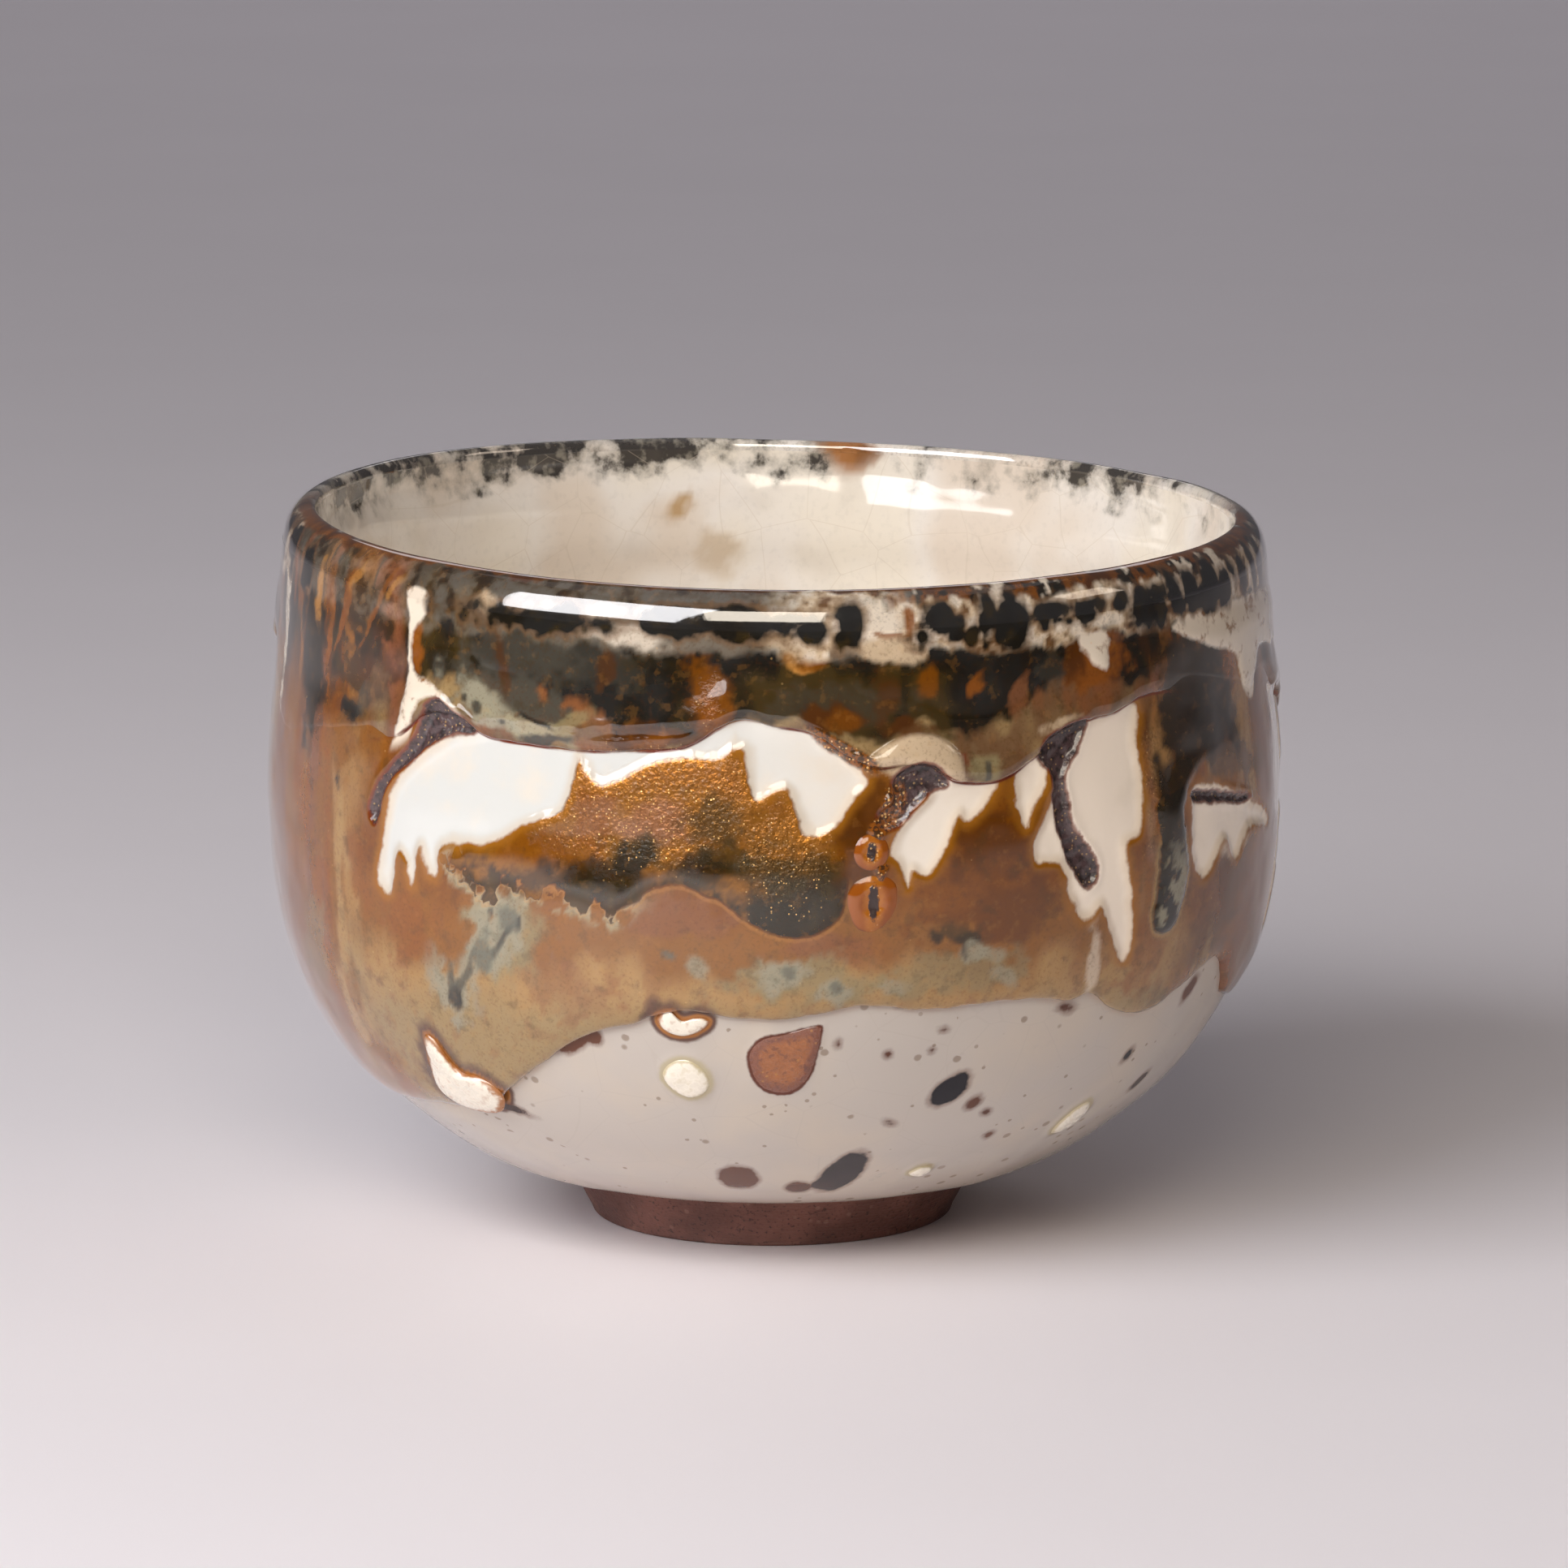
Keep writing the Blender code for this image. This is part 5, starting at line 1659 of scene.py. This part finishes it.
def stone_paint(name, rim):
    """A white stone, warmer in patches and at its rim."""
    p = Paint(name)
    fine = p.noise(0.8, 4)
    edge = p.step(p.add(p.field("share"), p.uneven(fine, 0.3)), 0.8, 0.96)
    colour = p.mix(STONE_WHITE, rim, p.step(fine, 0.5, 0.72), 0.35)
    colour = p.mix(colour, rim, edge)
    normal = p.bump(fine, 0.08, 0.5)
    return p.finish(colour, p.blend(0.25, 0.4, p.step(fine, 0.4, 0.7)), normal, coat=0.5)


def rust_paint(name):
    """The rusty spot: a dark brown ring round gritty orange."""
    p = Paint(name)
    fine = p.noise(0.6, 4)
    share = p.add(p.field("share"), p.uneven(fine, 0.35))
    colour = p.mix(RUST, RUST_BROWN, p.step(share, 0.55, 0.85))
    colour = p.mix(colour, RUST_DARK, p.step(fine, 0.54, 0.66), 0.6)
    colour = p.mix(colour, PALE_AMBER, p.flecks(0.5, 0.08), 0.5)
    normal = p.bump(fine, 0.10, 0.7)
    return p.finish(colour, p.blend(0.25, 0.4, p.step(fine, 0.4, 0.7)), normal, coat=0.5)


def bead_paint(name):
    """Clear amber-brown glaze, with a core of dark and golden grit."""
    p = Paint(name)
    fine = p.noise(0.5, 4)
    p.ragged = p.uneven(fine, 1.2)
    core = p.within("core", -0.15, 0.2)
    glints = p.times(p.flecks(0.35, 0.25), p.step(p.field("core"), -0.7, 0.1))
    colour = p.mix(BEAD_RING, BEAD_DARK, p.step(p.field("share"), 0.86, 0.98))
    colour = p.mix(colour, BEAD_PALE, p.within("core", -1.4, -0.2), 0.7)
    colour = p.mix(colour, BEAD_CORE, core)
    colour = p.mix(colour, GOLD, glints, 0.7)
    normal = p.bump(p.times(fine, core), 0.12, 0.7)
    return p.finish(colour, p.blend(0.1, 0.35, core), normal, coat=0.8, specular=0.3)


def make_stones_and_beads():
    """The white stones and the rust-coloured one, and the two raised beads."""
    for name, (outline, foot, height, rim) in STONES.items():
        lump = make_lump(name + "_lump", outline, foot, height, pebble)
        if rim is None:
            settle(lump, rust_paint(name + "_glaze"), name)
        else:
            settle(lump, stone_paint(name + "_glaze", rim), name)
    for name, (outline, *core) in BEADS.items():
        lump = make_lump(name + "_lump", outline, BEAD_FOOT, BEAD_HEIGHT, crater_ring, core)
        settle(lump, bead_paint(name + "_glaze"), name)


def settle(piece, material, node):
    """Gives a piece its material, and lets it stand for its node in the frame."""
    piece.data.materials.append(material)
    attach(piece, "root")
    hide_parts(node)


# ---------------------------------------------------------------- lining, clay and foot
LINING_CRACKLE = srgb(206, 192, 172)
CLAY_BROWN = srgb(94, 56, 46)
CLAY_PALE = srgb(120, 76, 64)
CLAY_DARK = srgb(58, 32, 28)
CLAY_SPECK = srgb(140, 104, 88)
MIDDLE_OF_FLOOR = 0.0015  # the lining's first ring, as a share of its length
UNDER_ROWS = 12


def make_lining():
    """The cream glaze over the whole inside, with slight throwing ridges."""
    rows = 110
    columns = COLUMNS // 2
    turns = turns_round(rows, columns)
    top = LINING.length_at(LIP_TOP - INNER_OVAL[1])
    lengths = np.broadcast_to(np.linspace(MIDDLE_OF_FLOOR, 1, rows)[:, None] * top, turns.shape)
    flat = on_wall(LINING, lengths, 0.0, turns)
    ridges = 0.10 * np.sin(lengths * 2 * math.pi / 7.5 + np.radians(turns))
    out = 0.12 * noise(flat, 11.0, 91) + 0.05 * noise(flat, 4.0, 92) + ridges
    out = out * eased(lengths, 2, 12) * (1 - eased(lengths, top - 6, top))
    out = out + lining_meets_lip() * eased(lengths, top - 4, top)
    face = on_wall(LINING, lengths, -out, turns)[::-1]
    under_turns = turns_round(UNDER_ROWS, columns)
    under_lengths = np.linspace(MIDDLE_OF_FLOOR, 1, UNDER_ROWS)[:, None] * top
    under = on_wall(LINING, np.broadcast_to(under_lengths, under_turns.shape), 0.7, under_turns)
    from_lip = top - lengths + INNER_ARC
    paint = lining_colours(turns, from_lip, flat)
    mottle = mottle_share(turns, from_lip)
    rows_under = np.linspace(0, rows - 1, UNDER_ROWS).round().astype(int)
    fields = {
        "paint": np.concatenate([paint[rows_under], paint[::-1]]),
        "mottle": np.concatenate([mottle[rows_under], mottle[::-1]]),
    }
    rings = np.concatenate([under, face])
    lining = make_mesh("lining_glaze_coat", rings, fields, closed_loop=False)
    close_ends(lining, columns)
    return lining


def lining_meets_lip():
    """How far in from the lining's line the lip roll's inner end lies."""
    edge = LIP_TOP_RADIUS - INNER_OVAL[0]
    return float(LINING.at(LINING.length_at(LIP_TOP - INNER_OVAL[1]), 0.0)[0]) - edge


def lining_paint():
    """The lining's painted colours, with fine crackle and a little unevenness."""
    p = Paint("cream_lining_glaze")
    fine = p.noise(0.9, 4)
    cloud = p.noise(9.0, 4, shift=0.3)
    colour = p.mottled(p.colour_field("paint"))
    colour = p.mix(colour, LINING_TAUPE_AND_SHADE, p.step(cloud, 0.5, 0.75), 0.15)
    colour = p.mix(colour, LINING_DARK, p.step(fine, 0.5, 0.7), 0.05)
    colour = p.mix(colour, LINING_CRACKLE, p.crackle(9.0, 0.008, 0.003), 0.25)
    normal = p.bump(p.noise(5.0, 1, shift=0.6), 0.06, 0.5)
    rough = p.blend(0.05, 0.08, fine)
    return p.finish(colour, rough, normal, coat=0.7, coat_roughness=0.04, specular=0.3)


def ring_grid(outline, columns):
    """The radius, turn and height of each point of an outline that goes round the bowl."""
    turns = turns_round(len(outline), columns)
    radius = np.broadcast_to(outline[:, :1], turns.shape)
    height = np.broadcast_to(outline[:, 1:], turns.shape)
    return radius, turns, height


def make_foot():
    """The bare clay: the turned foot ring, with tool marks and a soft worn edge."""
    radius, turns, height = ring_grid(foot_outline(), COLUMNS // 2)
    flat = placed(radius, turns, height)
    rough = 0.10 * layered_noise(flat, 3.0, 95) + 0.12 * noise(flat, 9.0, 96)
    bare = eased(height, 0.15, 0.9) * (1 - eased(height, 6.0, 6.9))
    rings = placed(radius + rough * bare, turns, height)
    return make_mesh("foot_ring_clay", rings, {"rise": height}, closed_loop=True)


CORNER = 0.5
TRIM = 0.2  # how much of a corner's turn is left out, in radians


def rounded_corner(middle, start, end):
    """A corner's points, round its middle between two angles, 0 being outwards."""
    angles = np.linspace(start, end, 5)
    return np.array(middle) + CORNER * np.column_stack([np.cos(angles), np.sin(angles)])


def foot_outline():
    """The foot's cross-section as a closed line, from its inner top round its underside."""
    down, right = 1.5 * math.pi, 2 * math.pi
    inner = np.linspace((16.4, 6.9), (17.1, 0.6), 14)
    inner_corner = rounded_corner((17.6, CORNER), math.pi + TRIM, down)
    flat = np.linspace((17.92, 0.0), (20.64, 0.0), 10)
    outer_corner = rounded_corner((20.8, CORNER), down, right - TRIM)
    outer = np.linspace((21.4475, 0.836), (24.6, 6.85), 16)
    return np.concatenate([inner, inner_corner, flat, outer_corner, outer])


def clay_paint(name):
    """Bare brown clay with fine rings from the wheel, grit and a few pale specks."""
    p = Paint(name)
    grain = p.noise(0.45, 4)
    broad = p.noise(6.0, 3)
    ring = p.noise(2.0, 3, tall=0.12)
    colour = p.mix(CLAY_BROWN, CLAY_PALE, p.step(broad, 0.35, 0.7))
    colour = p.mix(colour, CLAY_DARK, p.step(grain, 0.55, 0.72))
    colour = p.mix(colour, CLAY_SPECK, p.flecks(0.9, 0.10), 0.5)
    normal = p.bump(ring, 0.25, 0.5)
    normal = p.bump(grain, 0.18, 0.7, normal)
    return p.finish(colour, p.blend(0.5, 0.72, grain), normal)


def make_clay_body():
    """The clay inside the glazes. Only its underside shows, in the foot's hollow."""
    outer_lengths = np.linspace(0.0, GROUND.length_at(TOP_EDGE), 60)
    outer = np.column_stack(GROUND.at(outer_lengths, -0.95))
    angles = np.radians(np.linspace(0, 180, 13))
    lip = np.column_stack([54.9 + 0.75 * np.cos(angles), 80.6 + 0.75 * np.sin(angles)])
    inner_lengths = np.linspace(LINING.length_at(TOP_EDGE), 0.3, 50)
    inner = np.column_stack(LINING.at(inner_lengths, 1.05))
    under_radius = np.linspace(0.3, 22.5, 46)
    nipple = 0.9 * np.exp(-(under_radius / 3.2) ** 2)
    marks = 0.12 * np.sin(under_radius * 2 * math.pi / 2.6)
    under = np.column_stack([under_radius, 7.0 - nipple + marks * (1 - nipple)])
    columns = COLUMNS // 3
    outline = np.concatenate([under, outer, lip, inner])
    radius, turns, height = ring_grid(outline, columns)
    rings = placed(radius, turns, height)
    body = make_mesh("clay_body_thrown", rings, {"rise": height}, closed_loop=False)
    close_ends(body, columns)
    return body


# ---------------------------------------------------------------- the bowl
def make_bowl():
    """Every piece of the bowl, with its material and its node."""
    amber = make_amber_glaze()
    settle(amber, outer_glaze("amber_coat_glaze"), "amber_glaze")
    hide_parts("front_run", "right_run", "slate_run")
    settle(make_black_glaze(), outer_glaze("black_coat_glaze"), "black_glaze")
    settle(make_lip_glaze(), outer_glaze("lip_roll_glaze", is_lip=True), "lip_glaze")
    settle(make_ground_glaze(), ground_glaze_paint(), "ground_glaze")
    make_stones_and_beads()
    settle(make_lining(), lining_paint(), "lining_glaze")
    settle(make_foot(), clay_paint("foot_clay"), "foot_ring")
    settle(make_clay_body(), clay_paint("body_clay"), "clay_body")


# ---------------------------------------------------------------- stage, light and camera
CAMERA_RISE = math.radians(10.8)
CAMERA_DISTANCE = 1.2
LOOK_AT = Vector((0.0014, 0.0, 0.0508))
SENSOR = 36.0
LENS = 234.3
LIGHT_AIM = Vector((0.0, 0.0, 0.05))


def make_camera():
    """The photo's view: a long lens, from a little above the bowl."""
    camera = bpy.data.objects.new("camera", bpy.data.cameras.new("camera"))
    camera.data.sensor_width = SENSOR
    camera.data.lens = LENS
    back = Vector((0, -math.cos(CAMERA_RISE), math.sin(CAMERA_RISE)))
    camera.location = LOOK_AT + CAMERA_DISTANCE * back
    camera.rotation_euler = (math.pi / 2 - CAMERA_RISE, 0, 0)
    bpy.context.scene.collection.objects.link(camera)
    bpy.context.scene.camera = camera


def make_light(name, azimuth, rise, distance, size, watts, colour, glint):
    """A soft rectangular light at an angle round from the front and up, aimed at the bowl.

    A second light in the same place, glint times as strong, is seen only as reflections.
    """
    azimuth, rise = math.radians(azimuth), math.radians(rise)
    level = math.cos(rise)
    away = Vector((math.sin(azimuth) * level, -math.cos(azimuth) * level, math.sin(rise)))
    for part, share in (("", 1.0), ("_glint", glint)):
        light = bpy.data.lights.new(name + part, "AREA")
        light.shape = "RECTANGLE"
        light.size, light.size_y = size
        light.energy = watts * share
        light.color = colour
        lamp = bpy.data.objects.new(name + part, light)
        lamp.location = LIGHT_AIM + distance * away
        lamp.rotation_euler = (-away).to_track_quat("-Z", "Y").to_euler()
        lamp.visible_diffuse = not part
        bpy.context.scene.collection.objects.link(lamp)


def make_flat_light(name, place, size, watts):
    """A square light that shines straight down."""
    light = bpy.data.lights.new(name, "AREA")
    light.size = size
    light.energy = watts
    light.color = (1.0, 0.96, 1.0)
    lamp = bpy.data.objects.new(name, light)
    lamp.location = place
    bpy.context.scene.collection.objects.link(lamp)


FLOOR_PALE = srgb(246, 242, 247)
FLOOR_GREY = srgb(242, 238, 243)
# Painted shade: the floor darkens to this in front of the bowl, towards the camera.
FLOOR_PAINTED_SHADE = srgb(160, 156, 160)


def make_floor():
    """A pale floor, with painted shade that darkens it towards the camera."""
    mesh = bpy.data.meshes.new("floor")
    half = 6.0
    corners = [(-half, -half, 0), (half, -half, 0), (half, half, 0), (-half, half, 0)]
    mesh.from_pydata(corners, [], [(0, 1, 2, 3)])
    floor = bpy.data.objects.new("floor", mesh)
    bpy.context.scene.collection.objects.link(floor)
    p = Paint("floor")
    soft = p.noise(60.0, 2)
    colour = p.mix(FLOOR_PALE, FLOOR_GREY, soft)
    # Painted shade: darker towards the camera.
    colour = p.mix(colour, FLOOR_PAINTED_SHADE, p.step(p.along("Y"), -0.16, -0.5))
    mesh.materials.append(p.finish(colour, 0.6))


def make_stage():
    """The floor, the grey surroundings and the lights."""
    make_floor()
    bpy.context.scene.view_settings.view_transform = "Standard"
    world = bpy.data.worlds.new("studio")
    bpy.context.scene.world = world
    world.use_nodes = True
    world.node_tree.nodes["Background"].inputs["Color"].default_value = srgb(190, 184, 190)
    world.node_tree.nodes["Background"].inputs["Strength"].default_value = 0.16
    make_light("window", -45, 32, 0.9, (0.68, 0.5), 6.8, (0.99, 0.98, 1.0), glint=3.5)
    make_light("warm_lamp", -4, 32, 0.95, (0.42, 0.34), 2.6, (1.0, 0.9, 0.76), glint=4.5)
    make_light("side_lamp", 83, 30, 1.0, (0.3, 0.2), 0.4, (1.0, 0.82, 0.66), glint=1.0)
    make_flat_light("ceiling", (0, 0.1, 1.4), 1.4, 1.0)
    make_flat_light("backdrop_lamp", (0, 1.5, 0.9), 0.8, 1.8)


make_camera()
make_stage()
make_bowl()
